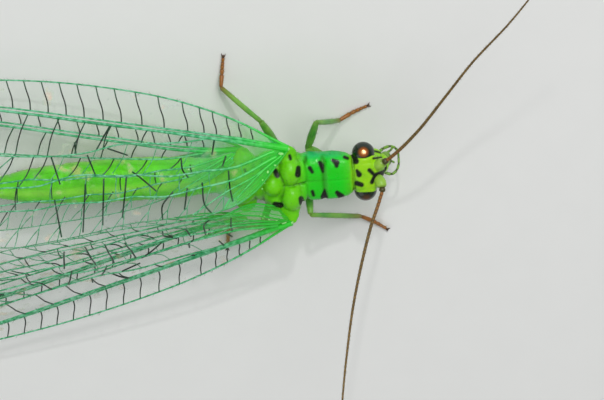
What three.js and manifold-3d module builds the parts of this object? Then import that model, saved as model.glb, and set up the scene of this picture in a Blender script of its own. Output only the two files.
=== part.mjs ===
import * as THREE from 'three';
import { mergeVertices } from 'three/addons/utils/BufferGeometryUtils.js';
import Module from 'manifold-3d';

// A green lacewing standing at rest, its four wings folded over the body like a roof.
// Millimetres, +X towards the head, +Y to the animal's left, +Z up, the floor at zero.

// General sizes
const GAP = 0.1;
const LIMB_SIDES = 8;
const BODY_SIDES = 18;
const ABDOMEN_SIDES = 14;
const UP = new THREE.Vector3(0, 0, 1);
const DOME = [[0, 1], [0.7, 0.7], [1, 0.25]];
const LIMB_RIM = 0.08;
const LIMB_RIM_SIZE = 0.75;

// Thorax and abdomen. Stations run from front to back as [x, centre z, half width, half height].
const PROTHORAX = [
  [1.3, 2.12, 0.5, 0.3],
  [1.16, 2.1, 0.66, 0.38],
  [0.72, 2.08, 0.76, 0.42],
  [0.3, 2.06, 0.75, 0.43],
  [0.06, 2.04, 0.62, 0.38],
];
const MESOTHORAX = [
  [-0.06, 2.05, 0.56, 0.5],
  [-0.26, 2.05, 0.78, 0.68],
  [-0.7, 2.03, 0.88, 0.72],
  [-1.15, 2.0, 0.82, 0.7],
  [-1.34, 1.98, 0.66, 0.6],
];
const METATHORAX = [
  [-1.44, 1.96, 0.62, 0.58],
  [-1.66, 1.94, 0.7, 0.68],
  [-2.05, 1.86, 0.68, 0.64],
  [-2.35, 1.74, 0.62, 0.52],
  [-2.45, 1.7, 0.5, 0.42],
];
const SCUTUM_LOBE = { x: -0.42, y: 0.42, z: 2.56, radii: [0.46, 0.44, 0.38] };
const SCUTELLUM = { x: -0.98, y: 0, z: 2.5, radii: [0.34, 0.42, 0.38] };
const METANOTUM_LOBE = { x: -1.92, y: 0.3, z: 2.34, radii: [0.42, 0.34, 0.36] };
const ABDOMEN = {
  front: -2.6,
  back: -9.2,
  frontZ: 1.62,
  midZ: 1.4,
  backZ: 1.34,
  halfWidth: 0.71,
  halfHeight: 0.64,
  segments: 8,
  groove: 0.07,
  waist: 0.26,
  taper: 0.42,
};
const ABDOMEN_TIP = { back: -9.8, halfWidth: 0.4, halfHeight: 0.42 };

// Head
const CRANIUM = { x: 1.9, z: 2.0, radii: [0.5, 0.64, 0.5] };
const CLYPEUS = { from: [2.08, 0, 1.9], to: [2.58, 0, 1.54], halfWidth: 0.4, thickness: 0.3 };
const LABRUM = { from: [2.66, 0, 1.46], to: [2.86, 0, 1.18], halfWidth: 0.26, thickness: 0.17 };
const LABIAL_PALP = { from: [2.7, 0.1, 1.2], to: [2.82, 0.2, 0.98], radius: 0.12 };
const MAXILLARY_PALP = {
  points: [[2.36, 0.42, 1.34], [2.62, 0.54, 1.3], [2.86, 0.5, 1.2]],
  radius: 0.15,
};
const EYE = { x: 1.82, y: 0.6, z: 2.02, radius: 0.35 };

// Antennae: the route of each, and the distances along it at which one length ends.
const ANTENNA_ROUTES = {
  left: [
    [2.28, 0.36, 2.48], [2.52, 0.54, 2.64], [3.46, 1.7, 3.2], [4.39, 3.12, 3.85],
    [5.24, 4.44, 4.45], [6.39, 5.97, 5.2], [7.62, 7.9, 6.15],
  ],
  right: [
    [2.26, -0.36, 2.48], [2.2, -0.58, 2.7], [1.92, -1.27, 3.2], [1.55, -2.21, 3.85],
    [1.22, -3.23, 4.5], [0.89, -4.6, 5.35], [0.33, -8.0, 7.05],
  ],
};
const ANTENNA_CUTS = [0, 0.32, 3.4, 6.5, 9.6];
const ANTENNA_RADII = [0.27, 0.24, 0.23, 0.21, 0.11];

// Legs: thorax root, trochanter, knee, ankle and toe of each, with the radius of each length.
const LEGS = {
  fore_leg_left: [
    [0.5, 0.36, 1.44], [0.16, 0.46, 1.06], [0.47, 1.81, 2.2], [1.18, 0.97, 0.35], [2.05, 1.28, 0.13],
  ],
  fore_leg_right: [
    [0.5, -0.36, 1.44], [0.1, -0.46, 1.06], [0.11, -1.31, 2.0], [1.65, -2.3, 0.36], [2.39, -2.87, 0.13],
  ],
  mid_leg_left: [
    [-0.55, 0.4, 1.2], [-0.75, 0.5, 0.78], [-1.19, 1.74, 1.7], [-2.34, 2.34, 0.35], [-2.21, 3.22, 0.13],
  ],
  mid_leg_right: [
    [-0.55, -0.4, 1.2], [-0.75, -0.5, 0.78], [-1.4, -1.8, 1.6], [-2.4, -2.3, 0.35], [-2.5, -3.15, 0.13],
  ],
  hind_leg_left: [
    [-1.8, 0.4, 1.08], [-2.1, 0.44, 0.7], [-4.1, 0.12, 0.46], [-7.3, -0.02, 0.34], [-8.7, 0.05, 0.13],
  ],
  hind_leg_right: [
    [-1.8, -0.4, 1.08], [-2.1, -0.46, 0.7], [-4.1, -0.62, 0.46], [-7.2, -0.8, 0.34], [-8.6, -0.95, 0.13],
  ],
};
const LEG_PARTS = ['coxa', 'femur', 'tibia', 'tarsus'];
const LEG_RADII = [0.26, 0.25, 0.22, 0.19];
const LEG_TAPER = 0.92;
const FLOOR_SLAB = 30;

// Wings: the root of each forewing, the way its radius vein runs, and the way back across it.
const FOREWING_FRAMES = {
  left: { root: [-0.43, 1.2, 2.6], along: [-0.965, 0.158, -0.131], across: [-0.27, -0.714, 0.67] },
  right: { root: [-0.48, -1.26, 2.6], along: [-0.949, -0.3425, -0.1287], across: [-0.313, 0.6539, 0.6787] },
};
const COSTAL_BEND = THREE.MathUtils.degToRad(17);
const HINDWING_ROOT = { along: 1.37, across: 0.27, under: 0.72 };
const WING_HALF_THICKNESS = 0.24;
const WING_EDGE_HALF_THICKNESS = 0.12;
const WING_TAPER = 0.5;
const VEIN_HEIGHT = 0.1;
const VEIN_HEIGHT_UNDER = 0.04;
const CROSSVEIN_HALF_WIDTH = 0.13;
const TIP_COLUMNS = [0.4, 0.7, 0.9, 1];

// Outlines as [distance along, distance behind the radius vein] for each margin. Rows run from the
// front margin at 0 over the radius vein at 1 to the hind margin at 2, each with 1 where a vein stands.
const FOREWING = {
  length: 15,
  costa: [
    [0, -0.2], [1.45, -0.55], [3.3, -0.95], [6, -1.1], [9, -0.9], [12, -0.35], [14.2, 0.3], [15, 0.8],
  ],
  radius: [[0, 0], [3, 0], [6, 0], [9, 0.02], [12, 0.22], [15, 0.9]],
  hind: [
    [0, 0.2], [0.7, 1.3], [1.7, 2.1], [4.5, 3.15], [7.5, 4.15], [10.2, 4.15], [12.8, 3.1], [14.4, 1.9],
    [15, 1.1],
  ],
  crossveins: { first: 1.1, step: 1.32, count: 10 },
  rows: [
    [0, 1], [0.14, 0], [0.86, 0], [1, 1], [1.05, 0], [1.15, 0], [1.2, 1], [1.25, 0], [1.44, 0], [1.5, 1],
    [1.56, 0], [1.7, 0], [1.76, 1], [1.82, 0], [1.95, 0], [2, 1],
  ],
};
const HINDWING = {
  length: 13.2,
  costa: [[0, -0.44], [1.5, -0.5], [4, -0.45], [8, -0.42], [11, -0.1], [12.6, 0.35], [13.2, 0.8]],
  radius: [[0, -0.28], [1.3, -0.05], [4, 0], [9, 0.05], [11.5, 0.35], [13.2, 0.9]],
  hind: [
    [0, -0.16], [0.8, 0.55], [2, 1.5], [5, 2.7], [7.5, 3.3], [9.5, 3.3], [11.5, 2.6], [12.8, 1.6],
    [13.2, 1.1],
  ],
  crossveins: { first: 1.2, step: 1.45, count: 8 },
  rows: [
    [0, 1], [0.3, 0], [0.7, 0], [1, 1], [1.07, 0], [1.22, 0], [1.28, 1], [1.34, 0], [1.56, 0], [1.63, 1],
    [1.7, 0], [1.94, 0], [2, 1],
  ],
};

// Finishes
const FINISHES = {
  vivid_green: { color: 0x4fae3a, roughness: 0.45, metalness: 0 },
  yellow_green: { color: 0xa5c84a, roughness: 0.45, metalness: 0 },
  eye: { color: 0x1d2a1c, roughness: 0.2, metalness: 0.4 },
  antenna: { color: 0x7a5230, roughness: 0.6, metalness: 0 },
  palp: { color: 0xb7bd5c, roughness: 0.5, metalness: 0 },
  leg: { color: 0x8fb858, roughness: 0.5, metalness: 0 },
  tarsus: { color: 0xb07a3c, roughness: 0.55, metalness: 0 },
  wing: { color: 0xcfe6dc, roughness: 0.15, metalness: 0 },
};

const wasm = await Module();
wasm.setup();

// Welds a geometry, drops faces with no area and turns it so that its faces look outwards.
function closed(geometry) {
  const bare = geometry.clone();
  bare.deleteAttribute('normal');
  bare.deleteAttribute('uv');
  const welded = mergeVertices(bare, 1e-4);
  const corners = welded.index.array;
  const kept = [];
  for (let i = 0; i < corners.length; i += 3) {
    const [a, b, c] = [corners[i], corners[i + 1], corners[i + 2]];
    if (a !== b && b !== c && c !== a) kept.push(a, b, c);
  }
  if (volume(welded.attributes.position, kept) < 0) {
    for (let i = 0; i < kept.length; i += 3) [kept[i], kept[i + 1]] = [kept[i + 1], kept[i]];
  }
  welded.setIndex(kept);
  return welded;
}

function volume(position, corners) {
  const [a, b, c] = [new THREE.Vector3(), new THREE.Vector3(), new THREE.Vector3()];
  let sum = 0;
  for (let i = 0; i < corners.length; i += 3) {
    a.fromBufferAttribute(position, corners[i]);
    b.fromBufferAttribute(position, corners[i + 1]);
    c.fromBufferAttribute(position, corners[i + 2]);
    sum += a.dot(b.cross(c)) / 6;
  }
  return sum;
}

// A closed geometry as a solid that can be joined or cut.
function solid(geometry) {
  const shell = closed(geometry);
  return new wasm.Manifold(new wasm.Mesh({
    numProp: 3,
    vertProperties: new Float32Array(shell.attributes.position.array),
    triVerts: new Uint32Array(shell.index.array),
  }));
}

// The largest closed surface of a solid, as a geometry.
function surface(body) {
  const pieces = body.decompose();
  const largest = pieces.reduce((best, piece) => (piece.volume() > best.volume() ? piece : best));
  const mesh = largest.getMesh();
  const geometry = new THREE.BufferGeometry();
  geometry.setAttribute('position', new THREE.BufferAttribute(new Float32Array(mesh.vertProperties), 3));
  geometry.setIndex(new THREE.BufferAttribute(new Uint32Array(mesh.triVerts), 1));
  return closed(geometry);
}

function joined(geometries) {
  return geometries.map(solid).reduce((whole, piece) => whole.add(piece));
}

// A turned shape laid along a curve. Each station is [share of the curve, half width, half height].
function sweep(curve, stations, sides) {
  const profile = stations.map(([share, , , end], i) => new THREE.Vector2(end ? 0 : 1, i));
  const lathe = new THREE.LatheGeometry(profile, sides);
  const place = lathe.attributes.position;
  for (let i = 0; i < place.count; i += 1) {
    const [share, halfWidth, halfHeight] = stations[Math.round(place.getY(i))];
    const along = curve.getTangentAt(share);
    const side = new THREE.Vector3().crossVectors(UP, along).normalize();
    const over = new THREE.Vector3().crossVectors(along, side);
    const point = curve.getPointAt(share);
    point.addScaledVector(side, place.getX(i) * halfWidth);
    point.addScaledVector(over, place.getZ(i) * halfHeight);
    place.setXYZ(i, point.x, point.y, point.z);
  }
  return lathe;
}

// Closes a list of stations with a point on the axis at each end.
function capped(stations) {
  const first = stations[0];
  const last = stations[stations.length - 1];
  return [[...first.slice(0, 3), true], ...stations, [...last.slice(0, 3), true]];
}

// A length of limb from one share of a curve to another, its ends a little rounded.
function limb(curve, from, to, startRadius, endRadius, steps = 4) {
  const stations = [];
  const rim = Math.min(LIMB_RIM / curve.getLength(), 0.2 * (to - from));
  stations.push([from, LIMB_RIM_SIZE * startRadius, LIMB_RIM_SIZE * startRadius]);
  for (let i = 0; i <= steps; i += 1) {
    const share = THREE.MathUtils.lerp(from + rim, to - rim, i / steps);
    const radius = THREE.MathUtils.lerp(startRadius, endRadius, i / steps);
    stations.push([share, radius, radius]);
  }
  stations.push([to, LIMB_RIM_SIZE * endRadius, LIMB_RIM_SIZE * endRadius]);
  return sweep(curve, capped(stations), LIMB_SIDES);
}

// A straight tube whose far end is a half ball about that point.
function rod(from, to, startRadius, endRadius) {
  const line = new THREE.LineCurve3(from, to);
  const full = line.getLength() + endRadius;
  const whole = new THREE.LineCurve3(from, line.getPoint(full / line.getLength()));
  const stations = [[0, startRadius, startRadius]];
  for (const [share, size] of DOME) {
    const radius = endRadius * size;
    stations.push([1 - (endRadius * (1 - share)) / full, radius, radius]);
  }
  return sweep(whole, capped(stations), LIMB_SIDES);
}

// A body section through its list of [x, centre z, half width, half height].
function section(list) {
  const curve = new THREE.CatmullRomCurve3(list.map(([x, z]) => new THREE.Vector3(x, 0, z)));
  const length = list[0][0] - list[list.length - 1][0];
  const stations = list.map(([x, , halfWidth, halfHeight]) => [
    (list[0][0] - x) / length,
    halfWidth,
    halfHeight,
  ]);
  return sweep(curve, capped(stations), BODY_SIDES);
}

function ball({ x, y = 0, z, radii }, sides = 16) {
  const geometry = new THREE.SphereGeometry(1, sides, Math.round(sides * 0.62));
  geometry.rotateX(Math.PI / 2);
  geometry.scale(...radii);
  geometry.translate(x, y, z);
  return geometry;
}

function mirrored(lobe) {
  return [ball(lobe), ball({ ...lobe, y: -lobe.y })];
}

const vector = (place) => new THREE.Vector3(...place);
const model = new THREE.Group();

function add(name, geometry, finish) {
  geometry.computeVertexNormals();
  const mesh = new THREE.Mesh(geometry, new THREE.MeshStandardMaterial(FINISHES[finish]));
  mesh.name = name;
  model.add(mesh);
}

// Head with a socket for each eye, the face running forward and down to the mouth.
function headParts() {
  const face = new THREE.LineCurve3(vector(CLYPEUS.from), vector(CLYPEUS.to));
  const mask = sweep(face, capped([
    [0, CLYPEUS.halfWidth, CLYPEUS.thickness],
    [0.8, CLYPEUS.halfWidth * 0.92, CLYPEUS.thickness * 0.95],
    [1, CLYPEUS.halfWidth * 0.75, CLYPEUS.thickness * 0.7],
  ]), BODY_SIDES);
  let head = joined([ball(CRANIUM, 22), mask]);
  for (const side of [1, -1]) {
    const place = { x: EYE.x, y: side * EYE.y, z: EYE.z };
    const socket = EYE.radius + GAP * 0.8;
    head = head.subtract(solid(ball({ ...place, radii: [socket, socket, socket] })));
    const radii = [EYE.radius, EYE.radius, EYE.radius];
    add(side > 0 ? 'eye_left' : 'eye_right', closed(ball({ ...place, radii }, 18)), 'eye');
  }
  add('head', surface(head), 'yellow_green');
  const lip = new THREE.LineCurve3(vector(LABRUM.from), vector(LABRUM.to));
  const pieces = [sweep(lip, capped([
    [0, LABRUM.halfWidth * 0.8, LABRUM.thickness * 0.8],
    [0.3, LABRUM.halfWidth, LABRUM.thickness],
    [0.8, LABRUM.halfWidth * 0.85, LABRUM.thickness * 0.9],
    [1, LABRUM.halfWidth * 0.6, LABRUM.thickness * 0.5],
  ]), 12)];
  for (const side of [1, -1]) {
    const [from, to] = [LABIAL_PALP.from, LABIAL_PALP.to].map(([x, y, z]) => vector([x, side * y, z]));
    pieces.push(rod(from, to, LABIAL_PALP.radius, LABIAL_PALP.radius * 0.8));
    const route = MAXILLARY_PALP.points.map(([x, y, z]) => vector([x, side * y, z]));
    const { radius } = MAXILLARY_PALP;
    const palp = limb(new THREE.CatmullRomCurve3(route), 0, 1, radius, radius * 0.7);
    add(side > 0 ? 'palp_left' : 'palp_right', closed(palp), 'palp');
  }
  add('mouthparts', surface(joined(pieces)), 'palp');
}

// Each antenna is a scape and three lengths of flagellum, parted by thin gaps.
function antennae() {
  for (const [side, route] of Object.entries(ANTENNA_ROUTES)) {
    const curve = new THREE.CatmullRomCurve3(route.map(vector));
    const length = curve.getLength();
    for (let i = 0; i < ANTENNA_CUTS.length - 1; i += 1) {
      const from = ANTENNA_CUTS[i] / length + (i ? (0.7 * GAP) / length : 0);
      const to = Math.min(1, ANTENNA_CUTS[i + 1] / length);
      const name = i ? `antenna_${side}_flagellum_${i}` : `antenna_${side}_scape`;
      const shape = limb(curve, from, to, ANTENNA_RADII[i], ANTENNA_RADII[i + 1], i ? 5 : 1);
      add(name, closed(shape), i ? 'antenna' : 'yellow_green');
    }
  }
}

function thorax() {
  add('prothorax', closed(section(PROTHORAX)), 'vivid_green');
  const meso = [section(MESOTHORAX), ...mirrored(SCUTUM_LOBE), ball(SCUTELLUM)];
  add('mesothorax', surface(joined(meso)), 'yellow_green');
  const meta = [section(METATHORAX), ...mirrored(METANOTUM_LOBE)];
  add('metathorax', surface(joined(meta)), 'yellow_green');
}

// The abdomen swells in each segment and closes to a groove between them.
function abdomen() {
  const { front, back, frontZ, midZ, backZ, halfWidth, halfHeight, segments, groove } = ABDOMEN;
  const length = front - back;
  const middle = (front + back) / 2;
  const curve = new THREE.CatmullRomCurve3([
    new THREE.Vector3(front, 0, frontZ),
    new THREE.Vector3(THREE.MathUtils.lerp(front, middle, 0.5), 0, midZ + 0.04),
    new THREE.Vector3(middle, 0, midZ),
    new THREE.Vector3(back, 0, backZ),
  ]);
  const stations = [];
  for (let i = 0; i < segments; i += 1) {
    for (const [share, depth] of [[0.03, groove], [0.3, 0], [0.75, 0], [0.97, groove]]) {
      const place = (i + share) / segments;
      const waist = 1 - ABDOMEN.waist * Math.pow(1 - place, 5);
      const tail = 1 - ABDOMEN.taper * Math.pow(place, 5);
      const size = waist * tail - depth;
      stations.push([place, halfWidth * size, halfHeight * size]);
    }
  }
  add('abdomen', closed(sweep(curve, capped(stations), ABDOMEN_SIDES)), 'yellow_green');
  const tip = new THREE.LineCurve3(
    new THREE.Vector3(back - GAP, 0, backZ),
    new THREE.Vector3(ABDOMEN_TIP.back, 0, backZ - 0.04),
  );
  const { halfWidth: wide, halfHeight: high } = ABDOMEN_TIP;
  const end = capped([
    [0, wide * 0.9, high * 0.9],
    [0.3, wide, high],
    [0.75, wide * 0.75, high * 0.8],
    [1, wide * 0.3, high * 0.4],
  ]);
  add('abdomen_tip', closed(sweep(tip, end, ABDOMEN_SIDES)), 'yellow_green');
}

// How far past a joint the next length must be joined on, so that two lengths at this angle stay clear.
function clearance(bend, radius) {
  return (radius + GAP / 2) / Math.tan(bend / 2);
}

// Each leg is four lengths. A length carries the joint at its end and the start of the next one.
function legs() {
  const slab = new THREE.BoxGeometry(FLOOR_SLAB, FLOOR_SLAB, 2);
  slab.translate(0, 0, -1);
  const below = solid(slab);
  for (const [name, places] of Object.entries(LEGS)) {
    const joints = places.map(vector);
    let start = joints[0];
    for (let i = 0; i < LEG_PARTS.length; i += 1) {
      const end = joints[i + 1];
      const pieces = [rod(start, end, LEG_RADII[i], LEG_RADII[i] * LEG_TAPER)];
      const next = joints[i + 2];
      if (next) {
        const ahead = next.clone().sub(end).normalize();
        const back = joints[i].clone().sub(end).normalize();
        const thick = Math.max(LEG_RADII[i], LEG_RADII[i + 1]);
        const reach = Math.max(clearance(back.angleTo(ahead), thick), thick);
        const stub = end.clone().addScaledVector(ahead, reach);
        const stubRadius = LEG_RADII[i + 1] * LEG_TAPER;
        pieces.push(rod(stub, end, stubRadius, stubRadius));
        start = stub.clone().addScaledVector(ahead, GAP);
      }
      const shape = surface(joined(pieces).subtract(below));
      add(`${name}_${LEG_PARTS[i]}`, shape, next ? 'leg' : 'tarsus');
    }
  }
}

// A wing's own axes, the third pointing out of its upper face.
function wingFrame({ root, along, across }, side) {
  const forward = vector(along).normalize();
  const behind = vector(across).normalize();
  const out = new THREE.Vector3().crossVectors(forward, behind).multiplyScalar(side);
  return { root: vector(root), forward, behind, out };
}

// A smooth curve through a margin's list of places.
function profileOf(points) {
  const [distances, places] = [points.map(([at]) => at), points.map(([, place]) => place)];
  const spline = new THREE.CubicInterpolant(distances, places, 1, new Float32Array(1));
  return (distance) => spline.evaluate(distance)[0];
}

// Where the columns of a wing lie along it, and the number of the crossvein that each crest carries.
function columnsOf({ length, crossveins: { first, step, count } }) {
  const columns = [{ distance: 0 }, { distance: first / 2 }];
  for (let k = 0; k < count; k += 1) {
    const distance = first + k * step;
    columns.push({ distance: distance - CROSSVEIN_HALF_WIDTH });
    columns.push({ distance, crossvein: k });
    columns.push({ distance: distance + CROSSVEIN_HALF_WIDTH });
  }
  const last = first + (count - 1) * step;
  for (const share of TIP_COLUMNS) {
    columns.push({ distance: THREE.MathUtils.lerp(last, length, share) });
  }
  return columns;
}

// A crossvein fills the front field and the rearmost one, and every other field between them.
function hasCrossvein(crossvein, field, fields) {
  if (crossvein === undefined) return false;
  return field === 0 || field === fields - 1 || (crossvein + field) % 2 === 0;
}

// A thin plate with its veins as ridges, its rows running from the front margin to the hind one.
function wing(frame, outline) {
  const [costa, radius, hind] = [outline.costa, outline.radius, outline.hind].map(profileOf);
  const columns = columnsOf(outline);
  const fields = outline.rows.filter(([, crest]) => crest).length - 1;
  const faces = [[], []];
  for (const { distance, crossvein } of columns) {
    const [front, vein, back] = [costa(distance), radius(distance), hind(distance)];
    let field = -1;
    for (const [row, crest] of outline.rows) {
      field += crest;
      const across = row < 1
        ? THREE.MathUtils.lerp(front, vein, row)
        : THREE.MathUtils.lerp(vein, back, row - 1);
      const before = Math.min(0, across);
      const middle = frame.root.clone()
        .addScaledVector(frame.forward, distance)
        .addScaledVector(frame.behind, Math.max(0, across) + before * Math.cos(COSTAL_BEND))
        .addScaledVector(frame.out, -before * Math.sin(COSTAL_BEND));
      const inset = Math.min(across - front, back - across, outline.length - distance) / WING_TAPER;
      const half = THREE.MathUtils.lerp(
        WING_EDGE_HALF_THICKNESS,
        WING_HALF_THICKNESS,
        THREE.MathUtils.smoothstep(inset, 0, 1),
      );
      const raised = crest || hasCrossvein(crossvein, field, fields) ? 1 : 0;
      faces[0].push(middle.clone().addScaledVector(frame.out, half + raised * VEIN_HEIGHT));
      faces[1].push(middle.clone().addScaledVector(frame.out, -half - raised * VEIN_HEIGHT_UNDER));
    }
  }
  return plate(faces, columns.length, outline.rows.length);
}

// Closes two sheets of points into one plate, both faces split along the same diagonals.
function plate([upper, lower], columns, rows) {
  const corners = [];
  const second = upper.length;
  const quad = (a, b, c, d) => corners.push(a, b, c, a, c, d);
  for (let i = 0; i < columns - 1; i += 1) {
    for (let j = 0; j < rows - 1; j += 1) {
      const a = i * rows + j;
      quad(a, a + rows, a + rows + 1, a + 1);
      quad(second + a, second + a + 1, second + a + rows + 1, second + a + rows);
    }
  }
  const rim = [];
  for (let i = 0; i < columns; i += 1) rim.push(i * rows);
  for (let j = 1; j < rows; j += 1) rim.push((columns - 1) * rows + j);
  for (let i = columns - 2; i >= 0; i -= 1) rim.push(i * rows + rows - 1);
  for (let j = rows - 2; j > 0; j -= 1) rim.push(j);
  rim.forEach((a, k) => {
    const b = rim[(k + 1) % rim.length];
    quad(b, a, second + a, second + b);
  });
  const geometry = new THREE.BufferGeometry().setFromPoints([...upper, ...lower]);
  geometry.setIndex(corners);
  return closed(geometry);
}

function wings() {
  for (const [name, side] of [['left', 1], ['right', -1]]) {
    const fore = wingFrame(FOREWING_FRAMES[name], side);
    add(`forewing_${name}`, wing(fore, FOREWING), 'wing');
    const root = fore.root.clone()
      .addScaledVector(fore.forward, HINDWING_ROOT.along)
      .addScaledVector(fore.behind, HINDWING_ROOT.across)
      .addScaledVector(fore.out, -HINDWING_ROOT.under);
    add(`hindwing_${name}`, wing({ ...fore, root }, HINDWING), 'wing');
  }
}

headParts();
antennae();
thorax();
abdomen();
legs();
wings();

// The origin lies on the floor below the middle of the whole animal.
const box = new THREE.Box3().setFromObject(model);
const centre = box.getCenter(new THREE.Vector3());
model.position.set(-centre.x, -centre.y, 0);
model.updateMatrixWorld(true);

export default model;
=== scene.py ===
import math

import bmesh
import bpy
import numpy as np
from mathutils import Matrix, Vector


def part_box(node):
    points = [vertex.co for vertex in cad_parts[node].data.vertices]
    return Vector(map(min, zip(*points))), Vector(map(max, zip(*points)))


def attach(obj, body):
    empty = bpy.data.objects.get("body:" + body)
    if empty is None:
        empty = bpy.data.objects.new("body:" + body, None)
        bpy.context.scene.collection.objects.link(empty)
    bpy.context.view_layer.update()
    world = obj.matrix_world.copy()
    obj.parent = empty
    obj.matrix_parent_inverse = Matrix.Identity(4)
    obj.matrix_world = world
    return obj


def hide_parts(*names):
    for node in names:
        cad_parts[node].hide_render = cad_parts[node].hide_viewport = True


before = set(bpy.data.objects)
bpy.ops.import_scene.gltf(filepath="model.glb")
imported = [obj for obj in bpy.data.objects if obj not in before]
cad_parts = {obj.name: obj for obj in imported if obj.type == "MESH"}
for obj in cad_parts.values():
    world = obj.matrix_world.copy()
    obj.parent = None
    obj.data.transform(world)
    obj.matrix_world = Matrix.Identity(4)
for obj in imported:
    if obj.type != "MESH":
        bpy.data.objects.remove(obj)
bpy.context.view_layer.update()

# View of the animal
# The lens looks down on the back from the animal's left, its head to the right of the picture.
# Places below are in millimetres from the front of the middle thorax. The frame's left eye, which
# lies at EYE_NODE_PLACE, tells where that is.
MM = 0.001
EYE_NODE_PLACE = (1.82, 0.60, 2.02)
LOOK_AT = (-0.12, -0.484, 2.726)
LEAN_OF_VIEW = math.radians(25)
ROLL = math.radians(4)
PIXELS_PER_MM = 33.0
PICTURE = (604, 400)
VIEW_DISTANCE = 300.0
SENSOR_WIDTH = 36.0

eye_low, eye_high = (np.array(corner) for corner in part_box("eye_left"))
shift = (eye_low + eye_high) / 2 - np.array(EYE_NODE_PLACE) * MM
towards_lens = np.array((0, math.sin(LEAN_OF_VIEW), math.cos(LEAN_OF_VIEW)))
level_up = np.array((0, math.cos(LEAN_OF_VIEW), -math.sin(LEAN_OF_VIEW)))
picture_right = np.array((1, 0, 0)) * math.cos(ROLL) - level_up * math.sin(ROLL)
picture_up = level_up * math.cos(ROLL) + np.array((1, 0, 0)) * math.sin(ROLL)


def placed(name, data):
    """A new object in the scene that holds a mesh, a lamp or a camera."""
    made = bpy.data.objects.new(name, data)
    bpy.context.collection.objects.link(made)
    return made


camera = bpy.data.cameras.new("view")
camera.sensor_width = SENSOR_WIDTH
camera.lens = SENSOR_WIDTH * VIEW_DISTANCE * PIXELS_PER_MM / PICTURE[0]
camera.clip_start = 0.01
camera.clip_end = 2.0
camera_object = placed("view", camera)
turn = Matrix((picture_right, picture_up, towards_lens)).transposed().to_4x4()
spot = np.array(LOOK_AT) * MM + shift + towards_lens * VIEW_DISTANCE * MM
camera_object.matrix_world = Matrix.Translation(Vector(spot)) @ turn
bpy.context.scene.camera = camera_object


# Studio
# A wide pale floor, one large soft lamp over the head side, a weaker one behind and a pale sky.
FLOOR_SIZE = 0.6
FLOOR_COLOUR = (0.80, 0.80, 0.78)
SKY = (0.95, 0.98, 1.0)
SKY_STRENGTH = 0.32
# Each lamp with its place, its width and its power.
LAMPS = {
    "key": ((0.05, 0.10, 0.16), 0.10, 0.20),
    "fill": ((-0.14, -0.08, 0.12), 0.16, 0.06),
    "glint": ((0.01, 0.075, 0.070), 0.004, 0.016),
}


class Wire:
    """A shader socket that Python's operators work on. Each operation adds its Math node."""

    def __init__(self, tree, socket=None):
        self.tree = tree
        self.socket = socket

    def node(self, kind, settings=None, sockets=None, output=0):
        made = self.tree.nodes.new(kind)
        for name, value in (settings or {}).items():
            setattr(made, name, value)
        for name, value in (sockets or {}).items():
            if isinstance(value, Wire):
                self.tree.links.new(value.socket, made.inputs[name])
            else:
                made.inputs[name].default_value = value
        return Wire(self.tree, made.outputs[output])

    def maths(self, operation, *values):
        return self.node("ShaderNodeMath", {"operation": operation}, dict(enumerate(values)))

    def __add__(self, other):
        return self.maths("ADD", self, other)

    def __radd__(self, other):
        return self.maths("ADD", other, self)

    def __mul__(self, other):
        return self.maths("MULTIPLY", self, other)

    def __rmul__(self, other):
        return self.maths("MULTIPLY", other, self)

    def ramp(self, low, high, start=0.0, end=1.0):
        ends = {"From Min": low, "From Max": high, "To Min": start, "To Max": end}
        return self.node("ShaderNodeMapRange", {"clamp": True}, {"Value": self, **ends})

    def attribute(self, name):
        return self.node("ShaderNodeAttribute", {"attribute_name": name}, output="Fac")

    def place(self):
        return self.node("ShaderNodeTexCoord", output="Object")

    def noise(self, scale, detail=3.0):
        sockets = {"Vector": self.place(), "Scale": scale, "Detail": detail}
        return self.node("ShaderNodeTexNoise", {}, sockets, "Fac")

    def cells(self, scale):
        sockets = {"Vector": self.place(), "Scale": scale}
        return self.node("ShaderNodeTexVoronoi", {"feature": "DISTANCE_TO_EDGE"}, sockets, "Distance")

    def blend(self, share, first, second):
        made = self.tree.nodes.new("ShaderNodeMix")
        made.data_type = "RGBA"
        for index, value in ((0, share), (6, first), (7, second)):
            if isinstance(value, Wire):
                self.tree.links.new(value.socket, made.inputs[index])
            elif index == 0:
                made.inputs[index].default_value = value
            else:
                made.inputs[index].default_value = (*value, 1.0)[:4]
        return Wire(self.tree, made.outputs[2])

    def bump(self, height, strength, distance):
        sockets = {"Height": height, "Strength": strength, "Distance": distance}
        return self.node("ShaderNodeBump", {}, sockets)


def finish(name, **fixed):
    """A new Principled material: its wire, and a call that links or sets the shader's sockets."""
    material = bpy.data.materials.new(name)
    material.use_nodes = True
    tree = material.node_tree
    shader = tree.nodes["Principled BSDF"]

    def put(**values):
        for key, value in values.items():
            socket = shader.inputs[key.replace("_", " ")]
            if isinstance(value, Wire):
                tree.links.new(value.socket, socket)
            elif isinstance(value, tuple) and len(value) == 3 and socket.type == "RGBA":
                socket.default_value = (*value, 1.0)
            else:
                socket.default_value = value

    put(**fixed)
    return material, Wire(tree), put


def tinted(colour, share):
    return tuple(share * part for part in colour)


def mesh_of(name, points, faces):
    mesh = bpy.data.meshes.new(name)
    mesh.from_pydata([tuple(p) for p in points], [], [tuple(f) for f in faces])
    mesh.validate()
    return mesh


floor_finish, wire, put = finish("floor_paper", Roughness=0.9)
grain = wire.noise(900.0)
put(Base_Color=wire.blend(grain, FLOOR_COLOUR, tinted(FLOOR_COLOUR, 0.97)))
half = FLOOR_SIZE / 2
corners = [(-half, -half, 0), (half, -half, 0), (half, half, 0), (-half, half, 0)]
floor_mesh = mesh_of("floor", corners, [(0, 1, 2, 3)])
floor_mesh.materials.append(floor_finish)
floor = placed("floor", floor_mesh)

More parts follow.
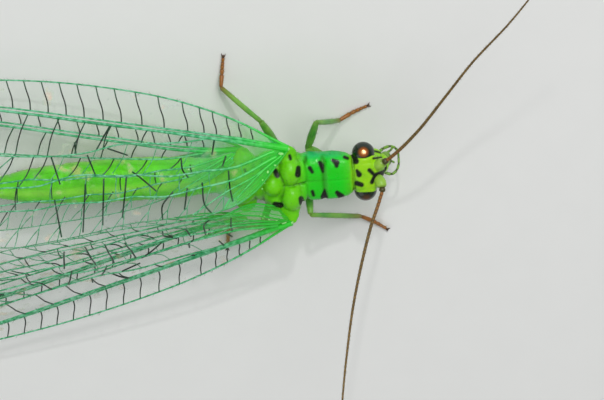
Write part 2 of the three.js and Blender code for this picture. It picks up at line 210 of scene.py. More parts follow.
for name, (place, size, power) in LAMPS.items():
    lamp = bpy.data.lights.new(name, "AREA")
    lamp.size = size
    lamp.energy = power
    lamp_object = placed(name, lamp)
    lamp_object.location = place
    lamp_object.rotation_euler = (-Vector(place)).to_track_quat("-Z", "Y").to_euler()

world = bpy.data.worlds.new("sky")
bpy.context.scene.world = world
world.use_nodes = True
world.node_tree.nodes["Background"].inputs["Color"].default_value = (*SKY, 1.0)
world.node_tree.nodes["Background"].inputs["Strength"].default_value = SKY_STRENGTH
bpy.context.scene.view_settings.view_transform = "Standard"


# Body skin
# One soft, slightly shiny skin runs from the head over the three rings of the thorax to the tail.
# Its lobes and rings are modelled as forms, fused and smoothed, and the sutures are pressed in.
PRONOTUM = [
    (1.50, 2.10, 0.46, 0.26), (1.44, 2.11, 0.58, 0.34), (1.30, 2.11, 0.67, 0.38),
    (1.05, 2.10, 0.73, 0.41), (0.80, 2.09, 0.755, 0.42), (0.60, 2.08, 0.735, 0.405),
    (0.40, 2.07, 0.76, 0.42), (0.15, 2.06, 0.76, 0.43), (-0.06, 2.05, 0.70, 0.42),
]
MESOTHORAX = [
    (0.06, 2.03, 0.58, 0.46), (-0.14, 2.04, 0.76, 0.60), (-0.70, 2.00, 0.88, 0.70),
    (-1.15, 1.97, 0.82, 0.68), (-1.42, 1.94, 0.68, 0.60),
]
METATHORAX = [
    (-1.34, 1.94, 0.62, 0.60), (-1.66, 1.90, 0.74, 0.68), (-2.05, 1.84, 0.72, 0.64),
    (-2.35, 1.74, 0.66, 0.56), (-2.66, 1.64, 0.54, 0.48),
]
HEAD_BOX = [
    (1.46, 2.02, 0.42, 0.30), (1.52, 2.02, 0.55, 0.38), (1.66, 2.00, 0.62, 0.43),
    (1.86, 1.98, 0.645, 0.455), (2.04, 1.96, 0.60, 0.44), (2.18, 1.92, 0.52, 0.41),
    (2.30, 1.86, 0.42, 0.34), (2.38, 1.80, 0.32, 0.26),
]
NECK = [(1.66, 2.02, 0.48, 0.34), (1.46, 2.04, 0.50, 0.35), (1.26, 2.06, 0.50, 0.35)]
# Round forms as centre and radii. Those off the middle line stand on both sides.
LOBES = [
    ((-0.42, 0.42, 2.50), (0.35, 0.47, 0.42)), ((-0.06, 0.27, 2.34), (0.20, 0.42, 0.30)),
    ((-0.97, 0.0, 2.50), (0.31, 0.36, 0.36)), ((-0.90, 0.52, 2.34), (0.26, 0.26, 0.28)),
    ((-1.36, 0.0, 2.28), (0.22, 0.44, 0.26)), ((-1.88, 0.30, 2.30), (0.36, 0.34, 0.34)),
    ((-2.26, 0.0, 2.12), (0.22, 0.32, 0.24)), ((-0.86, 0.74, 2.26), (0.34, 0.26, 0.24)),
    ((-1.80, 0.70, 2.06), (0.32, 0.28, 0.24)), ((-1.82, 0.88, 2.00), (0.22, 0.20, 0.15)),
    ((-0.55, 0.36, 1.52), (0.36, 0.34, 0.34)), ((-1.80, 0.36, 1.44), (0.36, 0.32, 0.34)),
    ((0.48, 0.34, 1.72), (0.32, 0.26, 0.26)),
]
HEAD_FORMS = [
    ((2.18, 0.0, 1.78), (0.28, 0.44, 0.34)), ((2.34, 0.0, 1.54), (0.26, 0.34, 0.24)),
    ((2.05, 0.38, 1.68), (0.34, 0.20, 0.26)), ((2.17, 0.25, 2.18), (0.20, 0.20, 0.19)),
]
# Forms that differ from side to side: the forewings' sockets and the brows above the eyes.
ONE_SIDED = [
    ((-0.50, 0.84, 2.40), (0.34, 0.30, 0.26)), ((-0.52, -0.86, 2.40), (0.34, 0.32, 0.26)),
    ((-0.46, 1.01, 2.49), (0.27, 0.22, 0.17)), ((-0.50, -1.05, 2.48), (0.27, 0.23, 0.17)),
    ((-0.43, 1.13, 2.56), (0.18, 0.15, 0.10)), ((-0.48, -1.18, 2.55), (0.18, 0.16, 0.10)),
    ((1.84, 0.47, 2.18), (0.34, 0.18, 0.20)), ((1.84, -0.47, 2.16), (0.34, 0.16, 0.20)),
]
ABDOMEN_FRONT, ABDOMEN_BACK = -2.45, -9.75
ABDOMEN_HALF_WIDTH, ABDOMEN_HALF_HEIGHT = 0.70, 0.63
ABDOMEN_RINGS, STATIONS_A_RING = 9, 12
SKIN_GRAIN = 0.030
EYE_CENTRE, EYE_RADIUS = (1.83, 0.615, 2.01), 0.338
# Slow waves over the skin, each with its way and its start.
WRINKLES = [
    ((9, 5, 7), 0.3), ((-6, 11, 4), 1.7), ((14, -8, 6), 2.9), ((5, 17, -9), 4.1), ((-19, 6, 12), 0.9),
]
WRINKLE_DEPTH = 0.0022


def loft(stations, sides=32, power=2.0):
    """A closed form through cross sections given as x, centre height, half width and half height."""
    points, faces = [], []
    for x, z, wide, high in stations:
        for k in range(sides):
            angle = 2 * math.pi * k / sides
            c, s = math.cos(angle), math.sin(angle)
            swell = (abs(c) ** power + abs(s) ** power) ** (-1 / power)
            points.append((x, wide * c * swell, z + high * s * swell))
    rows = len(stations)
    for i in range(rows - 1):
        for k in range(sides):
            a, b = i * sides + k, i * sides + (k + 1) % sides
            faces.append((a, b, b + sides, a + sides))
    faces.append(tuple(range(sides - 1, -1, -1)))
    faces.append(tuple((rows - 1) * sides + k for k in range(sides)))
    return np.array(points), faces


def ball(centre, radii, sides=28):
    """A closed ball, stretched to three radii."""
    rows = sides // 2
    points = [(0, 0, 1)]
    for i in range(1, rows):
        for k in range(sides):
            a, b = math.pi * i / rows, 2 * math.pi * k / sides
            points.append((math.sin(a) * math.cos(b), math.sin(a) * math.sin(b), math.cos(a)))
    points.append((0, 0, -1))
    faces = []
    for k in range(sides):
        after = (k + 1) % sides
        faces.append((0, 1 + k, 1 + after))
        for i in range(rows - 2):
            a = 1 + i * sides
            faces.append((a + k, a + sides + k, a + sides + after, a + after))
        last = 1 + (rows - 2) * sides
        faces.append((last + after, last + k, len(points) - 1))
    return np.array(points) * np.array(radii) + np.array(centre), faces


def on_both_sides(forms):
    """The forms with the mirror image of each one that lies off the middle line."""
    pairs = []
    for (x, y, z), radii in forms:
        pairs += [((x, side * y, z), radii) for side in ((1, -1) if y else (1,))]
    return pairs


def joined(forms):
    """The points and faces of many forms in one list."""
    points, faces, count = [], [], 0
    for some_points, some_faces in forms:
        points.append(np.asarray(some_points))
        faces.extend(tuple(i + count for i in face) for face in some_faces)
        count += len(some_points)
    return np.vstack(points), faces


def evaluated(mesh, *modifiers):
    """The mesh that modifiers leave, each given as its type, its settings and its tree's inputs."""
    holder = placed("holder", mesh)
    for kind, settings, inputs in modifiers:
        modifier = holder.modifiers.new(kind, kind)
        for key, value in settings.items():
            setattr(modifier, key, value)
        for key, value in inputs.items():
            modifier[key] = value
    graph = bpy.context.evaluated_depsgraph_get()
    result = bpy.data.meshes.new_from_object(holder.evaluated_get(graph))
    bpy.data.objects.remove(holder)
    return result


def fused(name, forms, grain, passes):
    """One closed skin round many forms, smoothed."""
    remesh = ("REMESH", {"mode": "VOXEL", "voxel_size": grain}, {})
    smooth = ("SMOOTH", {"factor": 0.5, "iterations": passes}, {})
    return evaluated(mesh_of(name, *joined(forms)), remesh, smooth)


def read_vertices(mesh, kind):
    values = np.empty(len(mesh.vertices) * 3)
    mesh.vertices.foreach_get(kind, values)
    return values.reshape(-1, 3)


def points_of(mesh):
    return read_vertices(mesh, "co")


def normals_of(mesh):
    return read_vertices(mesh, "normal")


def put_attribute(mesh, name, values):
    layer = mesh.attributes.new(name, "FLOAT", "POINT")
    layer.data.foreach_set("value", np.asarray(values, dtype=float))


def settle(name, mesh, nodes=(), material=None):
    """Makes a mesh drawn in millimetres a piece of the frame that stands for some of its nodes."""
    mesh.transform(Matrix.Translation(Vector(shift)) @ Matrix.Scale(MM, 4))
    mesh.name = name
    mesh.polygons.foreach_set("use_smooth", [True] * len(mesh.polygons))
    if material:
        mesh.materials.clear()
        mesh.materials.append(material)
    piece = placed(name, mesh)
    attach(piece, "root")
    if nodes:
        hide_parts(*nodes)


def abdomen_stations():
    """Nine rings with narrow joints, from a slim waist to a blunt tail."""
    stations = []
    for i in range(ABDOMEN_RINGS * STATIONS_A_RING + 1):
        share = i / (ABDOMEN_RINGS * STATIONS_A_RING)
        ring = (i % STATIONS_A_RING) / STATIONS_A_RING
        waist = 1 - 0.30 * (1 - share) ** 6
        tail = math.sqrt(max(0.02, 1 - share ** 7.0)) * (1 - 0.28 * share ** 3)
        joint = 1 - 0.055 * (abs(ring - 0.5) * 2) ** 6
        x = ABDOMEN_FRONT + (ABDOMEN_BACK - ABDOMEN_FRONT) * share
        z = 1.40 + 0.22 * (1 - share) ** 5 - 0.04 * share ** 3
        size = waist * tail * joint
        stations.append((x, z, ABDOMEN_HALF_WIDTH * size, ABDOMEN_HALF_HEIGHT * size))
    return stations


forms = [loft(PRONOTUM, power=2.9), loft(HEAD_BOX, power=3.2)]
forms += [loft(stations) for stations in (MESOTHORAX, METATHORAX, NECK, abdomen_stations())]
forms += [ball(*form) for form in on_both_sides(LOBES + HEAD_FORMS) + ONE_SIDED]
skin_mesh = fused("skin_forms", forms, SKIN_GRAIN, 4)

# Sutures pressed into the skin, and darkened there in its colour as painted shade, as lines from one place
# to another with a width and a depth.
SUTURES = [
    ((0.58, -0.70, 2.4), (0.58, 0.70, 2.4), 0.06, 0.06),
    ((0.66, -0.62, 2.4), (0.66, 0.62, 2.4), 0.025, 0.03),
    ((0.10, 0.0, 2.5), (1.30, 0.0, 2.5), 0.03, 0.014),
    ((0.06, -0.74, 2.3), (0.06, 0.74, 2.3), 0.045, 0.08),
    ((-0.30, 0.0, 2.8), (0.02, 0.0, 2.5), 0.035, 0.07),
    ((-0.30, 0.0, 2.8), (-0.66, 0.0, 2.8), 0.035, 0.04),
    ((-0.14, 0.0, 2.5), (-0.12, 0.62, 2.4), 0.03, 0.05),
    ((-0.14, 0.0, 2.5), (-0.12, -0.62, 2.4), 0.03, 0.05),
    ((-0.62, 0.0, 2.8), (-0.80, 0.50, 2.7), 0.035, 0.05),
    ((-0.62, 0.0, 2.8), (-0.80, -0.50, 2.7), 0.035, 0.05),
    ((-1.30, -0.70, 2.3), (-1.30, 0.70, 2.3), 0.05, 0.07),
    ((-1.52, -0.6, 2.3), (-1.52, 0.6, 2.3), 0.04, 0.05),
    ((-1.58, 0.0, 2.6), (-2.20, 0.0, 2.5), 0.04, 0.05),
    ((1.50, -0.6, 2.3), (1.50, 0.6, 2.3), 0.035, 0.06),
    ((1.66, 0.0, 2.5), (1.95, 0.0, 2.5), 0.02, 0.010),
    ((2.40, -0.34, 1.88), (2.40, 0.34, 1.88), 0.03, 0.03),
]
HEIGHT_COUNTS = (1, 1, 0.25)
EYE_RIM_HEIGHT, EYE_RIM_WIDTH = 0.03, 0.035


def distance_to(points, start, end):
    """How far points lie from a stretch of line, and how far along it their nearest places are."""
    start, end = np.array(start, float), np.array(end, float)
    along = end - start
    share = np.clip((points - start) @ along / max(along @ along, 1e-12), 0, 1)
    return np.linalg.norm(points - start - share[:, None] * along, axis=1), share


places = points_of(skin_mesh)
normals = normals_of(skin_mesh)
sunk = np.zeros(len(places))
for start, end, width, depth in SUTURES:
    start, end = np.multiply(start, HEIGHT_COUNTS), np.multiply(end, HEIGHT_COUNTS)
    gap, _ = distance_to(places * HEIGHT_COUNTS, start, end)
    sunk += depth * np.exp(-((gap / width) ** 2)) * (normals[:, 2] > 0.1)
pressed = sunk.copy()
for side in (1, -1):
    gap = np.linalg.norm(places - (EYE_CENTRE[0], side * EYE_CENTRE[1], EYE_CENTRE[2]), axis=1)
    sunk -= EYE_RIM_HEIGHT * np.exp(-(((gap - EYE_RADIUS - 0.02) / EYE_RIM_WIDTH) ** 2))
wrinkle = sum(np.sin(places @ np.array(way) + turn) for way, turn in WRINKLES)
sunk += WRINKLE_DEPTH * wrinkle
skin_mesh.vertices.foreach_set("co", (places - normals * sunk[:, None]).ravel())
skin_mesh.update()

# Dark marks as strokes on the picture: both ends in its pixels, and the half width at each end.
MARKS = [
    (357.0, 170.6, 359.0, 174.4, 1.6, 3.0), (356.8, 183.2, 361.6, 184.8, 2.6, 2.4),
    (369.4, 170.2, 374.0, 174.6, 2.1, 1.9), (371.8, 182.4, 374.8, 175.8, 2.0, 1.9),
    (374.6, 175.0, 384.6, 172.6, 2.1, 3.2), (385.6, 166.0, 386.4, 180.0, 1.4, 1.8),
    (353.4, 155.0, 355.8, 161.2, 2.6, 3.2), (373.4, 158.4, 382.5, 157.4, 1.2, 1.1),
    (375.0, 151.2, 382.0, 153.0, 1.1, 1.0), (309.8, 168.0, 312.2, 172.0, 2.2, 1.8),
    (319.6, 162.6, 321.6, 165.6, 2.0, 2.8), (321.6, 165.6, 322.8, 171.6, 2.8, 1.4),
    (332.8, 160.2, 336.4, 162.6, 1.8, 3.2), (336.4, 162.6, 336.6, 166.0, 3.2, 2.0),
    (344.6, 157.2, 347.6, 158.4, 1.8, 1.6), (312.4, 191.6, 313.6, 195.2, 1.8, 1.6),
    (324.6, 189.4, 324.2, 196.6, 0.8, 3.8), (337.2, 192.6, 341.4, 196.6, 2.2, 3.4),
    (347.5, 197.4, 352.4, 195.8, 1.4, 1.2), (298.4, 167.8, 297.8, 174.6, 2.3, 3.0),
    (301.0, 198.6, 302.0, 202.8, 2.6, 3.0), (275.2, 171.0, 277.2, 175.4, 2.6, 2.8),
    (275.0, 204.4, 280.6, 205.2, 2.8, 3.0), (289.6, 155.6, 290.4, 158.8, 1.5, 1.7),
    (244.8, 169.8, 245.4, 171.4, 1.6, 1.5),
]
MARK_SOFTNESS = 1.1
MARKS_ABOVE = 1.70


def on_picture(points):
    """Where points in millimetres fall on the picture, in its pixels."""
    away = points - np.array(LOOK_AT)
    near = VIEW_DISTANCE / (VIEW_DISTANCE - away @ towards_lens)
    across = PICTURE[0] / 2 + PIXELS_PER_MM * near * (away @ picture_right)
    down = PICTURE[1] / 2 - PIXELS_PER_MM * near * (away @ picture_up)
    return np.stack([across, down], axis=1)


body_places, body_normals = points_of(skin_mesh), normals_of(skin_mesh)
x, y, z = body_places.T
seen = on_picture(body_places)
upper = (body_normals @ towards_lens > -0.05) & (z > MARKS_ABOVE)
dark = np.zeros(len(body_places))
for x0, y0, x1, y1, thick0, thick1 in MARKS:
    gap, share = distance_to(seen, (x0, y0), (x1, y1))
    thick = thick0 + (thick1 - thick0) * share
    dark = np.maximum(dark, np.clip((thick - gap) / MARK_SOFTNESS + 0.5, 0, 1) * upper)
vivid = np.exp(-(((x - 0.68) / 0.74) ** 6))
tail = np.clip((-2.5 - x) / 0.5, 0, 1)
shares = {
    "dark": dark,
    "vivid": vivid,
    "head": np.clip((x - 1.36) / 0.14, 0, 1),
    "low": np.clip((1.65 - z) / 0.5, 0, 1),
    # Painted shade: darkness in the sutures, as deep as they are pressed.
    "cleft": np.clip(pressed / 0.07, 0, 1),
    "tail": tail,
    # Painted highlight: a pale line along the top of the abdomen.
    "crest": tail * np.exp(-(((y + 0.05) / 0.16) ** 2)) * (body_normals[:, 2] > 0),
    "edge": np.exp(-(((np.abs(y) - 0.80) / 0.12) ** 2)) * vivid,
}
for name, values in shares.items():
    put_attribute(skin_mesh, name, values)

VIVID_GREEN = (0.006, 0.66, 0.012)
YELLOW_GREEN = (0.165, 0.66, 0.006)
ABDOMEN_GREEN = (0.15, 0.86, 0.010)
HEAD_GREEN = (0.34, 0.72, 0.010)
PALE_BELLY = (0.45, 0.66, 0.16)
TEAL_EDGE = (0.015, 0.50, 0.17)
BLACK_MARK = (0.006, 0.008, 0.004)
PAINTED_HIGHLIGHT_GREEN = (0.44, 0.86, 0.10)
CREASE_SHADE_GREEN = (0.02, 0.14, 0.004)
PATCH_GREEN = (0.05, 0.48, 0.01)
skin_finish, wire, put = finish("skin", Specular_IOR_Level=0.25, Coat_Weight=0.12, Coat_Roughness=0.06)
put(Subsurface_Weight=0.25, Subsurface_Scale=0.0003, Subsurface_Radius=(0.6, 1.0, 0.3))
patches = wire.noise(1500.0, 4.0)
fine = wire.noise(14000.0, 5.0)
colour = wire.blend(wire.attribute("tail"), YELLOW_GREEN, ABDOMEN_GREEN)
for name, green in (("vivid", VIVID_GREEN), ("head", HEAD_GREEN), ("edge", TEAL_EDGE)):
    colour = wire.blend(wire.attribute(name), colour, green)
colour = wire.blend(wire.attribute("low") * 0.7, colour, PALE_BELLY)
shaded = wire.blend(patches.ramp(0.35, 0.7), colour, PATCH_GREEN)
colour = wire.blend(0.40, colour, shaded)
# Painted shade: the pressed sutures are darkened by their depth.
colour = wire.blend(wire.attribute("cleft") * 0.75, colour, CREASE_SHADE_GREEN)
# Painted highlight: a paler line along the top of the abdomen.
colour = wire.blend(wire.attribute("crest") * 0.5, colour, PAINTED_HIGHLIGHT_GREEN)
colour = wire.blend(wire.attribute("dark"), colour, BLACK_MARK)
put(
    Base_Color=colour,
    Roughness=fine.ramp(0.3, 0.7, 0.24, 0.42) + 0.3 * wire.attribute("dark"),
    Normal=wire.bump(fine + patches * 0.9, 0.5, 0.00003),
)
settle(
    "body_skin", skin_mesh,
    ("head", "prothorax", "mesothorax", "metathorax", "abdomen", "abdomen_tip"), skin_finish,
)


# Eyes
# Two bulging compound eyes of fine facets, dark green at the rim with a copper glow on top. The glow is
# partly the eyes' own copper sheen and partly a painted reflection with a painted highlight at its core,
# painted much weaker on the right eye.
RIM_GREEN = (0.003, 0.014, 0.005)
EYE_COPPER_AND_PAINTED_SHINE = (0.60, 0.15, 0.012)
# Painted highlight: the bright core of the eye's glow.
EYE_PAINTED_HIGHLIGHT = (1.0, 0.66, 0.28)
eye_finish, wire, put = finish("eye_facets", Coat_Weight=0.35, Coat_Roughness=0.06)
put(Specular_IOR_Level=0.4)
painted_shine = wire.attribute("painted_eye_shine")
facets = wire.cells(26000.0)
put(
    Base_Color=wire.blend(painted_shine.ramp(0.72, 1.0), wire.blend(painted_shine, RIM_GREEN, EYE_COPPER_AND_PAINTED_SHINE), EYE_PAINTED_HIGHLIGHT),
    Metallic=0.35 * painted_shine,
    Roughness=0.24,
    Normal=wire.bump(facets.ramp(0.0, 0.12), 0.10, 0.000004),
)
# Painted reflection: each eye's glow patch on its upper face, at full strength on the left eye and at 0.15
# on the right one, which lies in shade.
for side, name, strength in ((1, "left", 1.0), (-1, "right", 0.15)):
    centre = (EYE_CENTRE[0], side * EYE_CENTRE[1], EYE_CENTRE[2])
    eye_mesh = mesh_of("eye", *ball(centre, (EYE_RADIUS * 1.02, EYE_RADIUS, EYE_RADIUS), 64))
    outward = (points_of(eye_mesh) - centre) / EYE_RADIUS
    painted_eye_shine = outward @ np.array((0.02, side * 0.47, 0.88))
    put_attribute(eye_mesh, "painted_eye_shine", strength * np.clip((painted_eye_shine - 0.84) / 0.16, 0, 1) ** 1.4)
    settle(f"eye_{name}_lens", eye_mesh, (f"eye_{name}",), eye_finish)


# Mouthparts
# Below the upper lip hang two pairs of feelers: long outer ones of five joints and short inner ones
# of three. They are thin green tubes with a dark ring round each joint.
TUBE_SIDES = 10
FLOOR_GAP = 0.01


def curve_at(knots, values, at):
    """Values of the smooth curve that has the given values at its knots."""
    slopes = np.gradient(values, knots)
    at = np.clip(at, knots[0], knots[-1])
    part = np.clip(np.searchsorted(knots, at, side="right") - 1, 0, len(knots) - 2)
    step = knots[part + 1] - knots[part]
    t = (at - knots[part]) / step
    first = (2 * t**3 - 3 * t**2 + 1) * values[part] + (t**3 - 2 * t**2 + t) * step * slopes[part]
    return first + (3 * t**2 - 2 * t**3) * values[part + 1] + (t**3 - t**2) * step * slopes[part + 1]


def reach_along(points):
    """The distance of each point from the first, along the line."""
    return np.concatenate([[0], np.cumsum(np.linalg.norm(np.diff(points, axis=0), axis=1))])


def smooth_line(points, count):
    """Evenly shared places on a smooth curve through a list of points."""
    points = np.asarray(points, dtype=float)
    knots = reach_along(points)
    at = np.linspace(0, knots[-1], count)
    return np.stack([curve_at(knots, column, at) for column in points.T], axis=1)


def places_at(line, knots, at):
    return np.stack([np.interp(at, knots, column) for column in line.T], axis=1)


def follow(path, stations):
    """Places, radii and dark rings of a strand whose stations give share of path, radius, darkness."""
    shares, radii, dark = (np.array(values, dtype=float) for values in zip(*stations))
    return places_at(smooth_line(path, 400), np.linspace(0, 1, 400), shares), radii, dark


def strands_mesh(strands):
    """Open lines with a thickness and a darkness at each point, for the tube tree."""
    points = np.vstack([spots for spots, _, _ in strands])
    edges, count = [], 0
    for spots, _, _ in strands:
        edges += [(count + i, count + i + 1) for i in range(len(spots) - 1)]
        count += len(spots)
    mesh = bpy.data.meshes.new("strands")
    mesh.from_pydata([tuple(p) for p in points], edges, [])
    put_attribute(mesh, "thickness", np.concatenate([radii for _, radii, _ in strands]))
    put_attribute(mesh, "dark", np.concatenate([dark for _, _, dark in strands]))
    return mesh


def new_tree(name, inputs):
    """An empty geometry tree with named inputs: its wires by name, and a call that closes it."""
    tree = bpy.data.node_groups.new(name, "GeometryNodeTree")
    tree.interface.new_socket(name="Geometry", in_out="INPUT", socket_type="NodeSocketGeometry")
    for label, (kind, value) in inputs.items():
        socket = tree.interface.new_socket(name=label, in_out="INPUT", socket_type=kind)
        if value is not None:
            socket.default_value = value
    tree.interface.new_socket(name="Geometry", in_out="OUTPUT", socket_type="NodeSocketGeometry")
    entry = tree.nodes.new("NodeGroupInput")
    wires = {socket.name: Wire(tree, socket) for socket in entry.outputs if socket.name}

    def close(grown):
        grown = grown.node("GeometryNodeRealizeInstances", {}, {"Geometry": grown})
        sockets = {"Geometry": grown, "Material": wires["Finish"]}
        grown = grown.node("GeometryNodeSetMaterial", {}, sockets)
        tree.links.new(grown.socket, tree.nodes.new("NodeGroupOutput").inputs[0])
        return tree

    return wires, close


def stored(wire, name, kind):
    return wire.node("GeometryNodeInputNamedAttribute", {"data_type": kind}, {"Name": name})


def tube_tree():
    """Turns lines into closed tubes as thick as each point says."""
    wires, close = new_tree("tubes_on_lines", {
        "Sides": ("NodeSocketInt", TUBE_SIDES), "Finish": ("NodeSocketMaterial", None),
    })
    line = wires["Geometry"]
    line = line.node("GeometryNodeMeshToCurve", {}, {"Mesh": line})
    thick = stored(line, "thickness", "FLOAT")
    sockets = {"Resolution": wires["Sides"], "Radius": 1.0}
    round_profile = line.node("GeometryNodeCurvePrimitiveCircle", {"mode": "RADIUS"}, sockets)
    sockets = {"Curve": line, "Profile Curve": round_profile, "Scale": thick, "Fill Caps": True}
    return close(line.node("GeometryNodeCurveToMesh", {}, sockets))


def bristle_tree():
    """Stands a thin closed spike on each point, leaning and as long as the point says."""
    wires, close = new_tree("bristles_on_points", {
        "Thickness": ("NodeSocketFloat", 0.006), "Spread": ("NodeSocketFloat", 0.25),
        "Seed": ("NodeSocketInt", 7), "Finish": ("NodeSocketMaterial", None),
    })
    ground = wires["Geometry"]
    points = ground.node("GeometryNodeMeshToPoints", {"mode": "VERTICES"}, {"Mesh": ground})
    lean, length = stored(ground, "lean", "FLOAT_VECTOR"), stored(ground, "length", "FLOAT")
    chance = ground.node(
        "FunctionNodeRandomValue", {"data_type": "FLOAT_VECTOR"},
        {0: (-1.0, -1.0, -1.0), 1: (1.0, 1.0, 1.0), "Seed": wires["Seed"]},
    )
    sockets = {0: chance, "Scale": wires["Spread"]}
    chance = ground.node("ShaderNodeVectorMath", {"operation": "SCALE"}, sockets)
    lean = ground.node("ShaderNodeVectorMath", {"operation": "ADD"}, {0: lean, 1: chance})
    turned = ground.node("FunctionNodeAlignRotationToVector", {"axis": "Z"}, {"Vector": lean})
    thickness = wires["Thickness"]
    size = ground.node("ShaderNodeCombineXYZ", {}, {"X": thickness, "Y": thickness, "Z": length})
    spike = ground.node(
        "GeometryNodeMeshCone", {"fill_type": "NGON"},
        {"Vertices": 4, "Radius Top": 0.0, "Radius Bottom": 1.0, "Depth": 1.0},
    )
    sockets = {"Points": points, "Instance": spike, "Rotation": turned, "Scale": size}
    return close(ground.node("GeometryNodeInstanceOnPoints", {}, sockets))


def grown(mesh, tree, **inputs):
    """The plain mesh that a geometry tree makes from this one, with the tree's inputs set by name."""
    entries = [item for item in tree.interface.items_tree if item.in_out == "INPUT"]
    values = {item.identifier: inputs[item.name] for item in entries if item.name in inputs}
    return evaluated(mesh, ("NODES", {"node_group": tree}, values))


def bristle_points(spots, leans, lengths):
    mesh = bpy.data.meshes.new("bristle_roots")
    mesh.from_pydata([tuple(p) for p in spots], [], [])
    put_attribute(mesh, "length", lengths)
    layer = mesh.attributes.new("lean", "FLOAT_VECTOR", "POINT")
    layer.data.foreach_set("vector", np.ravel(leans))
    return mesh


def round_strands(strands, every, length, seed, lean=0.7):
    """Bristle roots scattered round strands, leaning towards the far end."""
    chance = np.random.default_rng(seed)
    spots, leans = [], []
    for line, radii, _ in strands:
        reach = reach_along(line)
        count = max(2, int(reach[-1] / every))
        at = np.sort(chance.uniform(0.02, 0.98, count)) * reach[-1]
        place = places_at(line, reach, at)
        ahead = places_at(line, reach, at + 0.02) - place
        ahead /= np.maximum(np.linalg.norm(ahead, axis=1), 1e-9)[:, None]
        outward = np.cross(ahead, chance.normal(size=(count, 3)))
        outward /= np.maximum(np.linalg.norm(outward, axis=1), 1e-9)[:, None]
        spots.append(place + outward * (0.8 * np.interp(at, reach, radii))[:, None])
        leans.append(outward + lean * ahead)
    spots, leans = np.vstack(spots), np.vstack(leans)
    lengths = length * chance.uniform(0.6, 1.0, len(spots))
    clear = spots[:, 2] + leans[:, 2] * lengths > FLOOR_GAP
    return bristle_points(spots[clear], leans[clear], lengths[clear])


TUBES = tube_tree()
BRISTLES = bristle_tree()
MAXILLARY = [
    (2.28, 0.28, 1.36), (2.48, 0.42, 1.34), (2.70, 0.46, 1.34), (2.84, 0.34, 1.28), (2.90, 0.14, 1.20),
    (2.90, 0.00, 1.14),
]
LABIAL = [(2.38, 0.12, 1.26), (2.56, 0.16, 1.12), (2.70, 0.20, 1.00), (2.76, 0.28, 0.93)]
# One joint of a palp as share of its length, share of its radius and darkness.
PALP_JOINT = [
    (0.0, 0.72, 0.9), (0.10, 0.92, 0.72), (0.22, 1.0, 0.0), (0.72, 1.05, 0.0), (0.90, 0.96, 0.54),
    (0.995, 0.72, 0.9),
]
# The upper lip and the jaws as centre, radii and number of sides.
LIP_FORMS = [
    ((2.48, 0.0, 1.38), (0.16, 0.26, 0.13), 20), ((2.58, 0.0, 1.25), (0.11, 0.22, 0.10), 20),
    ((2.50, 0.13, 1.20), (0.14, 0.10, 0.12), 18), ((2.50, -0.13, 1.20), (0.14, 0.10, 0.12), 18),
    ((2.38, 0.0, 1.24), (0.16, 0.18, 0.12), 18),
]
LIP_GRAIN = 0.02
BODY_HAIRS = 2600
MOUTH_PLACE, MOUTH_REACH = (2.0, 0.0, 1.2), 0.5
PALP_GREEN, PALP_SHADE = (0.24, 0.44, 0.06), (0.14, 0.34, 0.03)
JOINT_BROWN = (0.022, 0.014, 0.006)
HAIR_PALE, HAIR_DUSKY = (0.30, 0.30, 0.16), (0.10, 0.10, 0.05)


def jointed(joints, radius, taper):
    """Stations of a tube of equal joints, narrow and dark where one joint meets the next."""
    stations = []
    for k in range(joints):
        size = radius * (1 - (1 - taper) * k / (joints - 1))
        stations += [((k + step) / joints, size * scale, dark) for step, scale, dark in PALP_JOINT]
    stations.append((1.0, radius * taper * 0.45, 0.9))
    return stations


def settle_hairs(name, roots, material, thickness):
    settle(name, grown(roots, BRISTLES, Finish=material, Thickness=thickness))


palp_finish, wire, put = finish("palp_skin", Specular_IOR_Level=0.5)
speck = wire.noise(9000.0, 3.0)
green = wire.blend(speck, PALP_GREEN, PALP_SHADE)
put(
    Base_Color=wire.blend(wire.attribute("dark"), green, JOINT_BROWN),
    Roughness=speck.ramp(0.3, 0.7, 0.3, 0.5),
    Normal=wire.bump(speck, 0.3, 0.00001),
)
hair_finish, wire, put = finish("fine_hair", Roughness=0.5)
put(Base_Color=wire.blend(wire.noise(3000.0), HAIR_PALE, HAIR_DUSKY))
chance = np.random.default_rng(5)
picked = chance.choice(len(body_places), BODY_HAIRS, replace=False)
picked = picked[np.linalg.norm(body_places[picked] - MOUTH_PLACE, axis=1) > MOUTH_REACH]
leans = body_normals[picked] + (-0.5, 0.0, 0.1)
hairs = bristle_points(body_places[picked], leans, 0.10 * chance.uniform(0.5, 1.0, len(picked)))
settle_hairs("body_hairs", hairs, hair_finish, 0.0035)

inner = []
for side, name in ((1, "left"), (-1, "right")):
    outer = follow([(x, side * y, z) for x, y, z in MAXILLARY], jointed(5, 0.048, 0.72))
    palp = grown(strands_mesh([outer]), TUBES, Finish=palp_finish)
    settle(f"palp_{name}_joints", palp, (f"palp_{name}",))
    hairs = round_strands([outer], 0.022, 0.07, 11 + side)
    settle_hairs(f"palp_{name}_hairs", hairs, hair_finish, 0.004)
    inner.append(follow([(x, side * y, z) for x, y, z in LABIAL], jointed(3, 0.045, 0.75)))

labrum = fused("lip_forms", [ball(*form) for form in LIP_FORMS], LIP_GRAIN, 5)
put_attribute(labrum, "dark", 0.75 * np.clip((points_of(labrum)[:, 0] - 2.60) / 0.06, 0, 1))
settle("upper_lip_and_jaws", labrum, ("mouthparts",), palp_finish)
settle("labial_palps", grown(strands_mesh(inner), TUBES, Finish=palp_finish))


